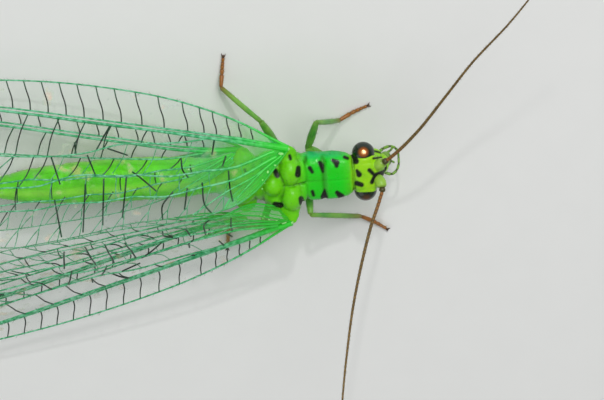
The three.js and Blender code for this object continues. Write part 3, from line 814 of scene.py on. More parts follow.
# Antennae
# Each is a stout pale scape, a dark ring of a pedicel and a thread of seventy-six short brown
# joints that narrows to its tip. Fine hairs stand round every joint.
ANTENNA_PATHS = {
    "left": [
        (2.17, 0.22, 2.18), (2.36, 0.365, 2.32), (2.52, 0.495, 2.42), (2.64, 0.62, 2.50),
        (3.46, 1.70, 3.20), (4.39, 3.12, 3.85), (5.24, 4.44, 4.45), (6.39, 5.97, 5.20),
        (7.60, 7.86, 6.14),
    ],
    "right": [
        (2.20, -0.14, 2.20), (2.31, -0.27, 2.40), (2.33, -0.42, 2.52), (2.24, -0.64, 2.70),
        (1.92, -1.27, 3.20), (1.55, -2.21, 3.85), (1.22, -3.23, 4.50), (0.89, -4.60, 5.35),
        (0.34, -7.90, 7.00),
    ],
}
SCAPE_LENGTH, PEDICEL_LENGTH = 0.40, 0.13
# Stations as share of the piece, radius and darkness. Those of a thread's joint scale its radius.
SCAPE_STATIONS = [
    (0.0, 0.10, 0.5), (0.05, 0.14, 0.2), (0.25, 0.165, 0.0), (0.6, 0.172, 0.0), (0.85, 0.15, 0.0),
    (0.97, 0.11, 0.5), (1.0, 0.07, 0.9),
]
PEDICEL_STATIONS = [
    (-0.05, 0.05, 0.95), (0.05, 0.085, 0.95), (0.4, 0.098, 0.95), (0.8, 0.09, 0.95), (1.0, 0.05, 0.95),
]
THREAD_JOINT = [(0.02, 0.80, 0.9), (0.20, 0.97, 0.15), (0.75, 1.04, 0.0), (0.94, 0.92, 0.5)]
FLAGELLUM_JOINTS = 76
THREAD_RADIUS, THREAD_TIP_RADIUS = 0.056, 0.022
THREAD_BROWN = (0.24, 0.145, 0.035)
THREAD_RUST = (0.30, 0.11, 0.020)
THREAD_DARK = (0.045, 0.022, 0.008)
SCAPE_GREEN, SCAPE_SHADE, SCAPE_RING = (0.34, 0.58, 0.05), (0.24, 0.50, 0.05), (0.05, 0.028, 0.008)


def antenna_strands(path):
    """The strands of a feeler's scape, its pedicel and its thread."""
    length = np.linalg.norm(np.diff(smooth_line(path, 300), axis=0), axis=1).sum()
    first = SCAPE_LENGTH / length
    second = (SCAPE_LENGTH + PEDICEL_LENGTH) / length
    scape = [(first * share, radius, dark) for share, radius, dark in SCAPE_STATIONS]
    ring = second - first
    pedicel = [(first + ring * share, radius, dark) for share, radius, dark in PEDICEL_STATIONS]
    thread = []
    for k in range(FLAGELLUM_JOINTS):
        size = THREAD_RADIUS + (THREAD_TIP_RADIUS - THREAD_RADIUS) * (k / FLAGELLUM_JOINTS) ** 0.9
        for step, scale, dark in THREAD_JOINT:
            share = second + (1 - second) * (k + step) / FLAGELLUM_JOINTS
            thread.append((share, size * scale, dark))
    thread.append((1.0, THREAD_TIP_RADIUS * 0.4, 0.5))
    return follow(path, scape), follow(path, pedicel), follow(path, thread)


thread_finish, wire, put = finish("antenna_thread", Specular_IOR_Level=0.4)
mottle = wire.noise(5000.0, 3.0)
brown = wire.blend(mottle.ramp(0.35, 0.65), THREAD_BROWN, tinted(THREAD_BROWN, 0.6))
brown = wire.blend(wire.attribute("near"), brown, THREAD_RUST)
put(
    Base_Color=wire.blend(wire.attribute("dark"), brown, THREAD_DARK),
    Roughness=mottle.ramp(0.3, 0.7, 0.42, 0.62),
    Normal=wire.bump(wire.noise(20000.0, 2.0), 0.3, 0.000006),
)
scape_finish, wire, put = finish("scape_skin", Specular_IOR_Level=0.5)
speck = wire.noise(6000.0, 3.0)
green = wire.blend(speck, SCAPE_GREEN, SCAPE_SHADE)
put(
    Base_Color=wire.blend(wire.attribute("dark"), green, SCAPE_RING),
    Roughness=speck.ramp(0.3, 0.7, 0.3, 0.45),
    Normal=wire.bump(speck, 0.25, 0.00001),
)
for name, path in ANTENNA_PATHS.items():
    scape, pedicel, thread = antenna_strands(path)
    scape_mesh = grown(strands_mesh([scape, pedicel]), TUBES, Sides=24, Finish=scape_finish)
    settle(f"antenna_{name}_scape_skin", scape_mesh, (f"antenna_{name}_scape",))
    thread_mesh = grown(strands_mesh([thread]), TUBES, Sides=12, Finish=thread_finish)
    far = np.linalg.norm(points_of(thread_mesh) - thread[0][0], axis=1)
    put_attribute(thread_mesh, "near", np.clip(1 - far / 1.1, 0, 1))
    nodes = [f"antenna_{name}_flagellum_{k}" for k in (1, 2, 3)]
    settle(f"antenna_{name}_thread", thread_mesh, nodes)
    hairs = round_strands([thread], 0.017, 0.085, 21 + len(name), lean=1.0)
    settle_hairs(f"antenna_{name}_hairs", hairs, hair_finish, 0.0035)


# Legs
# Six thin walking legs, each a green coxa, thigh and shin with fine hairs and a brown foot of five
# joints that ends in two hooked claws over a soft pad. Soft skin joins one length to the next.

# Each leg's places: the coxa's root, the trochanter, the knee, the ankle and the last foot joint.
LEGS = {
    "fore_leg_left": [
        (0.48, 0.34, 1.50), (0.16, 0.46, 1.06), (0.47, 1.81, 2.20), (1.18, 0.97, 0.30),
        (2.05, 1.28, 0.075),
    ],
    "fore_leg_right": [
        (0.48, -0.34, 1.50), (0.10, -0.46, 1.06), (0.11, -1.31, 2.00), (1.65, -2.30, 0.30),
        (2.39, -2.87, 0.075),
    ],
    "mid_leg_left": [
        (-0.55, 0.38, 1.30), (-0.75, 0.50, 0.78), (-1.19, 1.74, 1.70), (-2.34, 2.34, 0.30),
        (-2.21, 3.22, 0.075),
    ],
    "mid_leg_right": [
        (-0.55, -0.38, 1.30), (-0.75, -0.50, 0.78), (-1.40, -1.80, 1.60), (-2.40, -2.30, 0.30),
        (-2.50, -3.15, 0.075),
    ],
    "hind_leg_left": [
        (-1.80, 0.38, 1.20), (-2.10, 0.44, 0.70), (-4.10, 0.08, 0.46), (-7.30, -0.14, 0.28),
        (-8.62, -0.14, 0.075),
    ],
    "hind_leg_right": [
        (-1.80, -0.38, 1.20), (-2.10, -0.46, 0.70), (-4.10, -0.62, 0.46), (-7.20, -0.80, 0.28),
        (-8.52, -0.94, 0.075),
    ],
}
COXA_STATIONS = [
    (0.0, 0.17, 0.0), (0.10, 0.21, 0.0), (0.40, 0.20, 0.0), (0.75, 0.155, 0.0), (0.95, 0.115, 0.15),
    (1.0, 0.07, 0.3),
]
FEMUR_STATIONS = [
    (0.0, 0.06, 0.3), (0.03, 0.092, 0.1), (0.10, 0.10, 0.0), (0.14, 0.092, 0.15), (0.20, 0.11, 0.0),
    (0.45, 0.128, 0.0), (0.75, 0.112, 0.0), (0.93, 0.092, 0.0), (0.985, 0.085, 0.15), (1.0, 0.05, 0.3),
]
TIBIA_STATIONS = [
    (0.0, 0.045, 0.3), (0.03, 0.074, 0.15), (0.12, 0.072, 0.0), (0.35, 0.082, 0.0), (0.62, 0.080, 0.0),
    (0.90, 0.074, 0.0), (0.975, 0.070, 0.25), (1.0, 0.04, 0.4),
]
TARSUS_SHARES = [0.0, 0.42, 0.60, 0.74, 0.84, 1.0]
TARSUS_JOINT = [(0.02, 0.72, 0.7), (0.14, 0.9, 0.1), (0.6, 1.0, 0.0), (0.9, 1.12, 0.1), (0.98, 0.8, 0.6)]
CLAW_STATIONS = [(0.0, 0.020, 0.0), (0.3, 0.022, 0.0), (0.7, 0.013, 0.0), (1.0, 0.003, 0.0)]
PAD_STATIONS = [(0.0, 0.025, 0.0), (0.5, 0.036, 0.0), (0.9, 0.034, 0.0), (1.0, 0.018, 0.0)]
LEG_GREEN = (0.055, 0.30, 0.035)
LEG_PALE = (0.20, 0.46, 0.06)
FOOT_BROWN = (0.34, 0.125, 0.018)
CLAW_BROWN, CLAW_SHADE = (0.045, 0.018, 0.006), (0.10, 0.04, 0.012)

leg_finish, wire, put = finish("leg_skin", Specular_IOR_Level=0.5)
put(Subsurface_Weight=0.15, Subsurface_Scale=0.0001)
tone = wire.noise(1600.0, 3.0)
green = wire.blend(tone.ramp(0.35, 0.65), LEG_GREEN, LEG_PALE)
green = wire.blend(wire.attribute("foot"), green, FOOT_BROWN)
put(
    Base_Color=wire.blend(wire.attribute("dark"), green, tinted(FOOT_BROWN, 0.25)),
    Roughness=tone.ramp(0.3, 0.7, 0.32, 0.5),
    Normal=wire.bump(wire.noise(12000.0, 3.0), 0.3, 0.00001),
)
claw_finish, wire, put = finish("claw_horn", Specular_IOR_Level=0.6)
put(Base_Color=wire.blend(wire.noise(8000.0), CLAW_BROWN, CLAW_SHADE), Roughness=0.25)


def tarsus_stations():
    """The stations of a foot's five joints, each thinner than the one before."""
    stations = []
    for k, (start, end) in enumerate(zip(TARSUS_SHARES, TARSUS_SHARES[1:])):
        size = 0.062 - 0.004 * k
        for step, scale, dark in TARSUS_JOINT:
            stations.append((start + (end - start) * step, size * scale, dark))
    return stations


for name, joints in LEGS.items():
    root, trochanter, knee, ankle, toe = (np.array(joint) for joint in joints)
    knee_rise = (Vector(knee) - Vector(trochanter)).normalized() * 0.03
    shin = [knee + knee_rise, (knee + ankle) / 2 + (0, 0, 0.03), ankle]
    arch = [ankle, (ankle * 0.45 + toe * 0.55) * (1, 1, 0.62), toe]
    lengths = {
        "coxa": (follow([root, trochanter], COXA_STATIONS), 0.0),
        "femur": (follow([trochanter, knee], FEMUR_STATIONS), 0.0),
        "tibia": (follow(shin, TIBIA_STATIONS), 0.0),
        "tarsus": (follow(arch, tarsus_stations()), 1.0),
    }
    for part, (strand, foot) in lengths.items():
        mesh = grown(strands_mesh([strand]), TUBES, Sides=20, Finish=leg_finish)
        brown = np.full(len(mesh.vertices), foot)
        if part == "tibia":
            reach = np.linalg.norm(points_of(mesh) - knee, axis=1) / np.linalg.norm(ankle - knee)
            brown = np.clip((reach - 0.80) / 0.2, 0, 1) * 0.8
        put_attribute(mesh, "foot", brown)
        settle(f"{name}_{part}_skin", mesh, (f"{name}_{part}",))
    ahead = (toe - ankle) * (1, 1, 0)
    ahead /= np.linalg.norm(ahead)
    across = np.cross((0, 0, 1), ahead)
    claws = []
    for side in (1, -1):
        bend = toe + ahead * 0.07 + across * side * 0.045 + (0, 0, 0.015)
        tip = toe + ahead * 0.125 + across * side * 0.06 + (0, 0, -0.045)
        claws.append(follow([toe, bend, tip], CLAW_STATIONS))
    claws.append(follow([toe, toe + ahead * 0.09 + (0, 0, -0.02)], PAD_STATIONS))
    settle(f"{name}_claws", grown(strands_mesh(claws), TUBES, Sides=8, Finish=claw_finish))
    haired = [lengths[part][0] for part in ("femur", "tibia", "tarsus")]
    seed = len(name) + int(100 * toe[0] ** 2)
    hairs = round_strands(haired, 0.013, 0.10, seed, lean=0.9)
    settle_hairs(f"{name}_hairs", hairs, hair_finish, 0.0038)


# Wings
# Four clear wings stand like a roof over the back from the sides of the thorax. Each is a film
# held by a net of hollow veins, green along the wing and black across it, all set with short hairs.

# Each side's root, its way along the wing, its way back across it and the sign of its upper face.
WING_FRAMES = {
    "left": ((-0.43, 1.20, 2.60), (-0.965, 0.158, -0.131), (-0.270, -0.714, 0.670), 1),
    "right": ((-0.48, -1.26, 2.60), (-0.949, -0.3425, -0.1287), (-0.313, 0.6539, 0.6787), -1),
}
COSTAL_BEND = math.radians(17)
HINDWING_ROOT = (1.37, 0.27, -0.72)
FILM_HALF_THICKNESS = 0.007
# Veins and margins as distance along the wing and behind its radius, crossveins as distance along.
FOREWING = {
    "length": 15.0,
    "costa": [
        (0, -0.05), (0.5, -0.22), (1.45, -0.55), (3.3, -0.95), (6, -1.10), (9, -0.90), (12, -0.35),
        (14.2, 0.30), (15, 0.80),
    ],
    "radius": [(0, 0.0), (3, 0.0), (6, 0.0), (9, 0.02), (12, 0.22), (15, 0.90)],
    "hind": [
        (0, 0.05), (0.3, 0.72), (0.6, 1.35), (1.0, 1.85), (1.7, 2.32), (4.5, 3.28), (7.5, 4.28),
        (10.2, 4.28), (12.8, 3.2), (14.4, 1.95), (15, 1.1),
    ],
    "sector": [
        (2.4, 0.0), (3, 0.2), (4, 0.42), (5, 0.58), (6, 1.0), (7, 1.27), (8, 1.42), (9.5, 1.5),
        (11, 1.5), (12.5, 1.5), (13.8, 1.45), (14.8, 1.2),
    ],
    "media": [
        (0.4, 0.15), (1.5, 0.75), (2.5, 1.1), (3.5, 1.35), (4.65, 1.53), (5.5, 1.6), (6.35, 1.83),
        (7.5, 2.29), (9, 2.6), (10.5, 2.85), (12, 3.0), (12.9, 3.14),
    ],
    "cubitus": [
        (0.3, 0.3), (1.2, 1.0), (2.2, 1.55), (3.3, 1.95), (4.4, 2.2), (5.5, 2.5), (6.4, 2.75),
        (7.5, 3.05), (9, 3.42), (10.2, 3.7), (11.3, 4.05),
    ],
    "anal": [
        [(0.2, 0.3), (0.8, 1.0), (1.6, 1.68), (2.4, 2.5)], [(0.15, 0.25), (0.6, 0.8), (1.2, 1.78)],
    ],
    "costal_cross": [
        1.10, 1.455, 1.80, 2.21, 2.59, 3.09, 3.81, 4.49, 5.12, 5.68, 6.26, 6.81, 7.36, 7.91, 8.45, 9.0,
        9.55, 10.1, 10.6, 11.1,
    ],
    "radial_cross": [3.2, 4.3, 5.4, 6.2, 7.0, 7.95, 8.9, 9.8, 10.7, 11.6, 12.4, 13.2, 14.0],
    "sector_cross": [2.9, 3.9, 4.8, 5.7, 6.6, 7.5],
    "sector_branches": [8.1, 8.8, 9.5, 10.2, 10.9, 11.6, 12.3, 13.0, 13.6],
    "media_cross": [1.3, 2.2, 3.05, 3.9, 4.9, 5.8, 6.8, 7.8, 8.8, 9.8, 10.8],
    "margin_cross": [1.5, 2.0, 2.5, 3.05, 3.6, 4.3, 4.9, 5.5, 6.1, 6.7, 7.3, 7.9, 8.5, 9.1, 9.7, 10.3],
    "stain": (11.2, 13.4),
}
HINDWING = {
    "length": 13.2,
    "costa": [
        (0, -0.30), (0.4, -0.42), (1.5, -0.50), (4, -0.45), (8, -0.42), (11, -0.10), (12.6, 0.35),
        (13.2, 0.80),
    ],
    "radius": [(0, -0.28), (1.3, -0.05), (4, 0.0), (9, 0.05), (11.5, 0.35), (13.2, 0.90)],
    "hind": [
        (0, -0.24), (0.25, 0.2), (0.8, 0.8), (2, 1.6), (5, 2.82), (7.5, 3.42), (9.5, 3.42), (11.5, 2.7),
        (12.8, 1.65), (13.2, 1.1),
    ],
    "sector": [
        (1.2, 0.0), (2, 0.28), (3.5, 0.52), (5, 0.68), (7, 0.86), (9, 1.0), (11, 1.2), (12.4, 1.3),
        (13.0, 1.15),
    ],
    "media": [
        (0.3, -0.1), (1.2, 0.3), (2.5, 0.78), (4, 1.15), (5.5, 1.45), (7, 1.75), (8.5, 2.0), (10, 2.25),
        (11.4, 2.7),
    ],
    "cubitus": [
        (0.3, -0.12), (1.0, 0.45), (2.2, 1.1), (3.6, 1.62), (5, 1.98), (6.5, 2.4), (8, 2.75),
        (9.4, 3.15), (10, 3.34),
    ],
    "anal": [[(0.2, -0.12), (0.9, 0.62), (1.7, 1.36)]],
    "costal_cross": [1.2, 1.7, 2.2, 2.7, 3.2, 3.8, 4.4, 5.0, 5.6, 6.2, 6.8, 7.4, 8.0, 8.6, 9.2, 9.8],
    "radial_cross": [2.3, 3.2, 4.1, 5.0, 6.0, 7.0, 8.0, 9.0, 10.0, 11.0, 12.0],
    "sector_cross": [1.8, 2.8, 3.8, 4.8, 5.8, 6.8],
    "sector_branches": [7.2, 7.9, 8.6, 9.3, 10.0, 10.7, 11.3, 11.9],
    "media_cross": [1.5, 2.5, 3.5, 4.5, 5.5, 6.5, 7.5, 8.5],
    "margin_cross": [1.6, 2.2, 2.9, 3.6, 4.3, 5.0, 5.7, 6.4, 7.1, 7.8, 8.5, 9.2],
    "stain": (9.9, 11.8),
}
# Bold crossveins of the forewing, each from one place to another as distance along and behind.
BOLD_CROSSVEINS = [
    [(6.38, 0.71), (6.27, 1.07)], [(5.45, 0.05), (5.69, 0.87)], [(5.37, 0.76), (4.72, 0.89)],
    [(5.92, 1.06), (5.53, 1.70)], [(6.97, 1.30), (6.53, 2.10)],
    [(4.47, 1.41), (4.10, 1.62), (3.63, 1.91)], [(3.11, 0.78), (2.98, 1.15), (2.77, 1.35)],
    [(2.25, 0.03), (2.22, 0.52)], [(1.80, 0.50), (1.84, 0.85)],
    [(1.63, 0.95), (1.45, 1.55), (1.30, 1.9)], [(2.33, 1.45), (2.05, 2.2), (1.86, 2.35)],
    [(2.73, 1.69), (2.68, 2.37)], [(3.13, 1.85), (3.36, 2.35), (3.25, 2.8)],
    [(4.61, 1.60), (4.46, 2.9)], [(5.27, 1.75), (5.0, 3.2)], [(5.78, 2.0), (5.54, 3.5)],
    [(6.59, 2.62), (6.14, 3.75)],
]
BOLD_CROSSVEINS_END = 7.4
LONG_VEIN_SHADE, MARGIN_SHADE = 0.0, 0.22
# Radius and darkness of the faint crossveins between the forewing's bold ones.
FAINT_CROSSVEIN = (0.013, 0.25)


def margin_of(points):
    """A smooth curve through a margin's list, as a function of the distance along the wing."""
    knots, values = (np.array(column, dtype=float) for column in zip(*points))
    return lambda at: curve_at(knots, values, at)


def axes_of(side, hind):
    """A wing's root and its three axes: along, back across and out of the upper face."""
    root, along, across, sign = WING_FRAMES[side]
    along = np.array(along) / np.linalg.norm(along)
    across = np.array(across) / np.linalg.norm(across)
    out = np.cross(along, across) * sign
    root = np.array(root)
    if hind:
        root = root + along * HINDWING_ROOT[0] + across * HINDWING_ROOT[1] + out * HINDWING_ROOT[2]
    return root, along, across, out


def on_wing(axes, distance, behind, lift=0.0):
    """Places on a wing's film, the field in front of the radius vein bent down, the rest pleated."""
    root, along, across, out = axes
    distance, behind = np.asarray(distance, dtype=float), np.asarray(behind, dtype=float)
    before = np.minimum(0, behind)
    pleat = 0.030 * np.sin(behind * 5.2) * np.clip(behind, 0, 1) * np.clip(distance / 3, 0, 1)
    camber = 0.05 * np.sin(np.clip(behind / 4, 0, 1) * math.pi) * np.clip(distance / 4, 0, 1)
    flat = np.maximum(0, behind) + before * math.cos(COSTAL_BEND)
    height = lift - before * math.sin(COSTAL_BEND) + pleat + camber
    return root + distance[..., None] * along + flat[..., None] * across + height[..., None] * out


def shell_mesh(top, under):
    """A closed thin sheet between two grids of places."""
    columns, rows = top.shape[:2]
    faces, second = [], columns * rows
    for i in range(columns - 1):
        for j in range(rows - 1):
            a = i * rows + j
            faces.append((a, a + rows, a + rows + 1, a + 1))
            faces.append((second + a, second + a + 1, second + a + rows + 1, second + a + rows))
    rim = [i * rows for i in range(columns)] + [(columns - 1) * rows + j for j in range(1, rows)]
    rim += [i * rows + rows - 1 for i in range(columns - 2, -1, -1)] + list(range(rows - 2, 0, -1))
    for a, b in zip(rim, rim[1:] + rim[:1]):
        faces.append((b, a, second + a, second + b))
    mesh = mesh_of("film", np.vstack([top.reshape(-1, 3), under.reshape(-1, 3)]), faces)
    repair = bmesh.new()
    repair.from_mesh(mesh)
    bmesh.ops.recalc_face_normals(repair, faces=repair.faces)
    repair.to_mesh(mesh)
    repair.free()
    return mesh


def film_mesh(axes, wing, columns=150, rows=46):
    """The wing's closed film between its margins."""
    front, middle, back = (margin_of(wing[name]) for name in ("costa", "radius", "hind"))
    share = np.linspace(0, 1, columns)
    distance = wing["length"] * (1 - (1 - share) ** 1.25)
    row = np.linspace(0, 1, rows)
    split = 0.22
    before = np.minimum(row / split, 1)[None, :]
    after = np.clip((row - split) / (1 - split), 0, 1)[None, :]
    near = (middle(distance) - front(distance))[:, None]
    far = (back(distance) - middle(distance))[:, None]
    behind = front(distance)[:, None] + near * before + far * after
    along = np.repeat(distance[:, None], rows, axis=1)
    top, under = (on_wing(axes, along, behind, side * FILM_HALF_THICKNESS) for side in (1, -1))
    mesh = shell_mesh(top, under)
    start, end = wing["stain"]
    stain = np.clip((along - start) / 0.3, 0, 1) * np.clip((end - along) / 0.5, 0, 1)
    stain *= behind < middle(distance)[:, None]
    put_attribute(mesh, "rooted", np.tile(np.exp(-((along / 1.3) ** 2)).ravel(), 2))
    put_attribute(mesh, "stain", np.tile(stain.ravel(), 2))
    return mesh


def fold_mesh(axes, wing, side, columns=40, rows=12):
    """The soft fold at a wing's root, with the strands of its free edge and of two pleats."""
    share = np.linspace(0, 1, columns)
    distance = 0.04 + FOLD_REACH * share
    margin = on_wing(axes, distance, margin_of(wing["hind"])(distance))
    free = smooth_line(np.array(FOLD_EDGE) * (1, 1 if side == "left" else -1, 1), columns)
    free = free + (margin - free) * (0.95 * share ** 4)[:, None]
    row = np.linspace(0, 1, rows)
    sheet = margin[:, None] + (free - margin)[:, None] * row[None, :, None]
    sag = 0.05 * np.sin(math.pi * row)[None, :] * np.sin(math.pi * share)[:, None]
    sheet = sheet - sag[..., None] * axes[3]
    across = np.cross(np.gradient(sheet, axis=0), np.gradient(sheet, axis=1))
    across /= np.maximum(np.linalg.norm(across, axis=2), 1e-9)[..., None]
    lift = across * FILM_HALF_THICKNESS
    mesh = shell_mesh(sheet + lift, sheet - lift)
    put_attribute(mesh, "rooted", np.full(len(mesh.vertices), 0.75))
    put_attribute(mesh, "stain", np.zeros(len(mesh.vertices)))
    strands = [(free, np.full(columns, 0.024), np.zeros(columns))]
    for j in (3, 7):
        strands.append((sheet[:-6, j], np.full(columns - 6, 0.012), np.full(columns - 6, 0.1)))
    return mesh, strands


def vein(axes, line, thick_start, thick_end, dark, steps=None):
    """A strand on the wing through places given as distance along and behind."""
    line = np.array(line, dtype=float)
    reach = np.linalg.norm(np.diff(line, axis=0), axis=1).sum()
    count = steps or max(5, int(reach / 0.16))
    flat = smooth_line(np.column_stack([line, np.zeros(len(line))]), count)
    share = np.linspace(0, 1, count)
    radii = thick_start + (thick_end - thick_start) * share
    shades = np.atleast_1d(dark)
    shade = np.interp(share, np.linspace(0, 1, len(shades)), shades)
    return on_wing(axes, flat[:, 0], flat[:, 1]), radii, shade


def venation(axes, wing, hind):
    """All strands of one wing: the long veins first, then the crossveins."""
    length = wing["length"]
    front, middle, back = (margin_of(wing[name]) for name in ("costa", "radius", "hind"))
    sector, media, cubitus = (margin_of(wing[name]) for name in ("sector", "media", "cubitus"))
    long_veins, cross_veins = [], []

    def edge(function, start, end, first, last, dark, count):
        at = start + (end - start) * np.linspace(0, 1, count)
        radii = last + (first - last) * np.exp(-np.linspace(0, 1, count) * 9)
        long_veins.append((on_wing(axes, at, function(at)), radii, np.full(count, dark)))

    def add(path, thick_start, thick_end, dark, steps):
        cross_veins.append(vein(axes, path, thick_start, thick_end, dark, steps))

    def cross(start, end, thick, dark, bow=0.0):
        start, end = np.array(start, dtype=float), np.array(end, dtype=float)
        mid = (start + end) / 2 + bow * np.array([end[1] - start[1], start[0] - end[0]])
        add([start, mid, end], thick, thick, dark, 6)

    def subcosta(at):
        return middle(at) - 0.105 * np.clip(at / 1.5, 0.35, 1)

    def zigzag(line, lift):
        return lambda at: line(at) + lift * np.abs((at / 0.95 + 0.5) % 2 - 1)

    base = 0.075 if hind else 0.12
    edge(front, 0.0, length, 0.05, 0.024, LONG_VEIN_SHADE, 110)
    edge(middle, 0.0, length * 0.995, base, 0.036, LONG_VEIN_SHADE, 110)
    edge(subcosta, 0.1, length * 0.90, base * 0.7, 0.026, LONG_VEIN_SHADE, 100)
    edge(sector, wing["sector"][0][0], length * 0.985, 0.03, 0.024, LONG_VEIN_SHADE, 90)
    for name, line, lift, thick in (("media", media, 0.09, 0.024), ("cubitus", cubitus, 0.08, 0.022)):
        start, end = wing[name][0][0], wing[name][-1][0]
        edge(zigzag(line, lift), start, end, base * 0.5, thick, LONG_VEIN_SHADE, 110)
    edge(back, 0.0, length, 0.03, 0.014, MARGIN_SHADE, 110)
    for line in wing["anal"]:
        long_veins.append(vein(axes, line, 0.034, 0.018, LONG_VEIN_SHADE))
    for at in wing["costal_cross"]:
        foot, top = middle(at) - 0.11, front(at)
        span = foot - top
        far = at + 0.42 * span
        path = [
            (at, foot), (at + 0.06 * span, foot - 0.25 * span),
            (at + 0.30 * span, foot - 0.72 * span), (far, front(far)),
        ]
        add(path, 0.022, 0.019, [0.9, 1.0, 1.0, 0.7], 9)
    for at in wing["radial_cross"]:
        cross((at, middle(at)), (at + 0.10, sector(at + 0.10)), 0.021, [0.7, 1.0, 1.0, 0.7], 0.05)
    bold_end = 0.0 if hind else BOLD_CROSSVEINS_END
    for at in wing["sector_cross"]:
        thick, shade = FAINT_CROSSVEIN if at < bold_end else (0.020, [1.0, 1.0, 0.6])
        cross((at, sector(at)), (at + 0.25, media(at + 0.25)), thick, shade, -0.06)
    for at in wing["media_cross"]:
        thick, shade = FAINT_CROSSVEIN if at < bold_end else (0.020, [0.9, 1.0, 0.7])
        cross((at, media(at)), (at - 0.12, cubitus(at - 0.12)), thick, shade, 0.04)
    for k, at in enumerate(wing["margin_cross"]):
        start = np.array((at, cubitus(at)))
        end_at = min(at + 0.18 + 0.05 * k / 4, length * 0.93)
        end = np.array((end_at, back(end_at)))
        fork = start + (end - start) * 0.55
        thick, shade = (0.014, 0.25) if at < bold_end else (0.020, [1.0, 0.9, 0.3])
        add([start, (start + fork) / 2 + (0.03, 0), fork], thick, 0.013, shade, 7)
        for spread in (-0.14, 0.16):
            tip = min(end_at + spread, length * 0.95)
            bend = (tip * 0.5 + fork[0] * 0.5 + spread * 0.1, (fork[1] + back(tip)) / 2)
            add([fork, bend, (tip, back(tip))], 0.016, 0.012, 0.25, 6)
    ends = []
    for k, at in enumerate(wing["sector_branches"]):
        start = np.array((at, sector(at)))
        end_at = min(at + 2.6 - 0.16 * k, length * 0.985)
        end = np.array((end_at, back(end_at)))
        path = [
            start, start * 0.62 + end * 0.38 + (-0.10, 0.06),
            start * 0.28 + end * 0.72 + (-0.06, 0.04), end,
        ]
        long_veins.append(vein(axes, path, 0.020, 0.014, [0.5, 0.0, 0.0, 0.2], 16))
        flat = smooth_line(np.column_stack([path, np.zeros(4)]), 60)
        ends.append(flat)
        fork = flat[46, :2]
        tip = min(end_at - 0.28, length * 0.97)
        add([fork, (fork + (tip, back(tip))) / 2, (tip, back(tip))], 0.014, 0.011, 0.2, 6)
    for first, second in zip(ends, ends[1:]):
        for one, other in ((16, 11), (34, 27)):
            cross(first[one, :2], second[other, :2], 0.020, [0.8, 1.0, 0.8])
    if not hind:
        for line in BOLD_CROSSVEINS:
            add(line, 0.027, 0.024, [0.85, 1.0, 0.85], 9)
    return long_veins, cross_veins


# Small hard plates at each root, as distance along and behind, with three radii in the wing's axes. The
# first five are shiny pale-green beads along the root's hind edge that stand where glints show, partly real
# root plates and partly painted glints.
ROOT_PLATES = [
    (0.28, 0.59, 0.040, 0.028, 0.022), (0.45, 0.83, 0.035, 0.050, 0.025), (0.55, 1.11, 0.026, 0.030, 0.020),
    (0.47, 1.20, 0.022, 0.022, 0.018), (0.51, 1.39, 0.024, 0.024, 0.018), (0.06, 0.02, 0.13, 0.06, 0.06),
    (0.18, 0.20, 0.09, 0.05, 0.035), (0.34, -0.06, 0.10, 0.035, 0.035),
]
# The free edge of the soft fold that hangs from each wing's root, from the thorax to the margin.
FOLD_EDGE = [
    (-0.50, 0.90, 2.34), (-1.06, 0.69, 2.53), (-1.54, 0.42, 2.86), (-2.06, 0.33, 3.20),
    (-2.60, 0.34, 3.62),
]
FOLD_REACH = 1.45
PLATE_GREEN, PLATE_PALE = (0.14, 0.68, 0.08), (0.40, 0.82, 0.30)
# The teal and copper film tints are painted reflections of the film's iridescence.
FILM_GREEN, FILM_PAINTED_TEAL, FILM_PAINTED_COPPER = (0.30, 0.78, 0.20), (0.30, 0.72, 0.60), (0.95, 0.62, 0.40)
FILM_ROOT, FILM_STAIN = (0.02, 0.74, 0.02), (0.30, 0.52, 0.16)
# The paler vein tone is a painted highlight.
VEIN_GREEN, VEIN_PAINTED_HIGHLIGHT = (0.030, 0.36, 0.13), (0.20, 0.62, 0.36)
VEIN_ROOT, VEIN_BLACK = (0.035, 0.66, 0.03), (0.004, 0.007, 0.004)
WING_HAIR_PALE, WING_HAIR_DARK = (0.16, 0.30, 0.16), (0.05, 0.09, 0.05)
plate_finish, wire, put = finish("root_plate", Specular_IOR_Level=0.6)
put(
    Base_Color=wire.blend(wire.noise(4000.0), PLATE_GREEN, PLATE_PALE),
    Roughness=0.22,
    Normal=wire.bump(wire.noise(9000.0), 0.3, 0.00001),
)
for side in ("left", "right"):
    axes = axes_of(side, False)
    turn = np.array([axes[1], axes[2], axes[3]])
    plates = []
    for along, behind, *size in ROOT_PLATES:
        points, faces = ball((0, 0, 0), size, 14)
        plates.append((points @ turn + on_wing(axes, along, behind, 0.02), faces))
    plates_mesh = mesh_of("root_plates_and_glint_beads", *joined(plates))
    if side == "right":
        plates_mesh.flip_normals()
    settle(f"forewing_{side}_root_plates_and_glint_beads", plates_mesh, material=plate_finish)

film_finish, wire, put = finish("wing_film", IOR=1.45, Specular_IOR_Level=0.12)
put(Thin_Film_Thickness=420.0, Thin_Film_IOR=1.38)
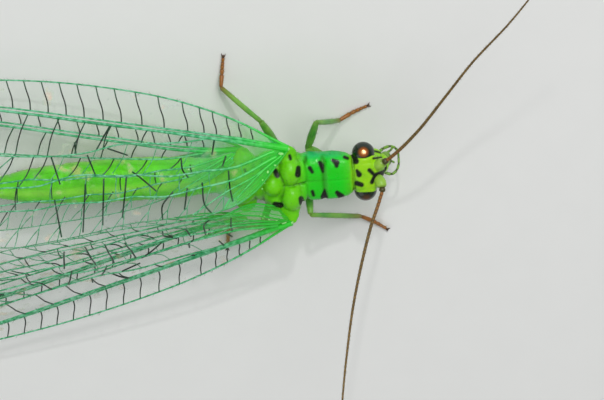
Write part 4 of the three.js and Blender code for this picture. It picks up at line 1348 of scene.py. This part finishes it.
# Painted reflections: the teal tint and the copper patches, more opaque than the rest of the film, stand in
# for its iridescent sheen and glints.
painted_iridescence = wire.noise(420.0, 3.0)
painted_film_sparkle = wire.noise(1700.0, 4.0)
tint = wire.blend(painted_iridescence.ramp(0.40, 0.62), FILM_GREEN, FILM_PAINTED_TEAL)
tint = wire.blend(painted_film_sparkle.ramp(0.60, 0.72), tint, FILM_PAINTED_COPPER)
tint = wire.blend(wire.attribute("rooted"), tint, FILM_ROOT)
tint = wire.blend(wire.attribute("stain"), tint, FILM_STAIN)
solid = 0.01 + 0.22 * painted_film_sparkle.ramp(0.60, 0.72)
solid = solid + 0.40 * wire.attribute("rooted") + 0.40 * wire.attribute("stain")
put(
    Base_Color=tint,
    Alpha=solid,
    Roughness=painted_film_sparkle.ramp(0.3, 0.7, 0.10, 0.24),
    Normal=wire.bump(wire.noise(3000.0, 3.0), 0.35, 0.00003),
)
vein_finish, wire, put = finish("wing_vein", Specular_IOR_Level=0.4)
# Painted highlights: paler ticks scattered by noise over the veins stand in for their shine.
painted_vein_highlight = wire.noise(7000.0, 2.0)
green = wire.blend(painted_vein_highlight.ramp(0.42, 0.62), VEIN_GREEN, VEIN_PAINTED_HIGHLIGHT)
green = wire.blend(wire.attribute("rooted"), green, VEIN_ROOT)
put(
    Base_Color=wire.blend(wire.attribute("dark"), green, VEIN_BLACK),
    Roughness=painted_vein_highlight.ramp(0.3, 0.7, 0.25, 0.45),
    Normal=wire.bump(painted_vein_highlight, 0.3, 0.00001),
)
wing_hair_finish, wire, put = finish("wing_hair", Roughness=0.45)
put(Base_Color=wire.blend(wire.noise(2500.0), WING_HAIR_PALE, WING_HAIR_DARK))
for side in ("left", "right"):
    for kind, wing, hind in (("forewing", FOREWING, False), ("hindwing", HINDWING, True)):
        axes = axes_of(side, hind)
        settle(f"{kind}_{side}_film", film_mesh(axes, wing), (f"{kind}_{side}",), film_finish)
        long_veins, cross_veins = venation(axes, wing, hind)
        if not hind:
            fold, fold_strands = fold_mesh(axes, wing, side)
            settle(f"forewing_{side}_fold", fold, material=film_finish)
            cross_veins += fold_strands
        veins = grown(strands_mesh(long_veins + cross_veins), TUBES, Sides=8, Finish=vein_finish)
        far = np.abs((points_of(veins) - axes[0]) @ axes[1])
        put_attribute(veins, "rooted", np.exp(-((far / 1.6) ** 2)))
        settle(f"{kind}_{side}_veins", veins)
        hairs = round_strands(long_veins, 0.075, 0.13, 31 + len(kind) + len(side), lean=0.9)
        settle_hairs(f"{kind}_{side}_hairs", hairs, wing_hair_finish, 0.0045)
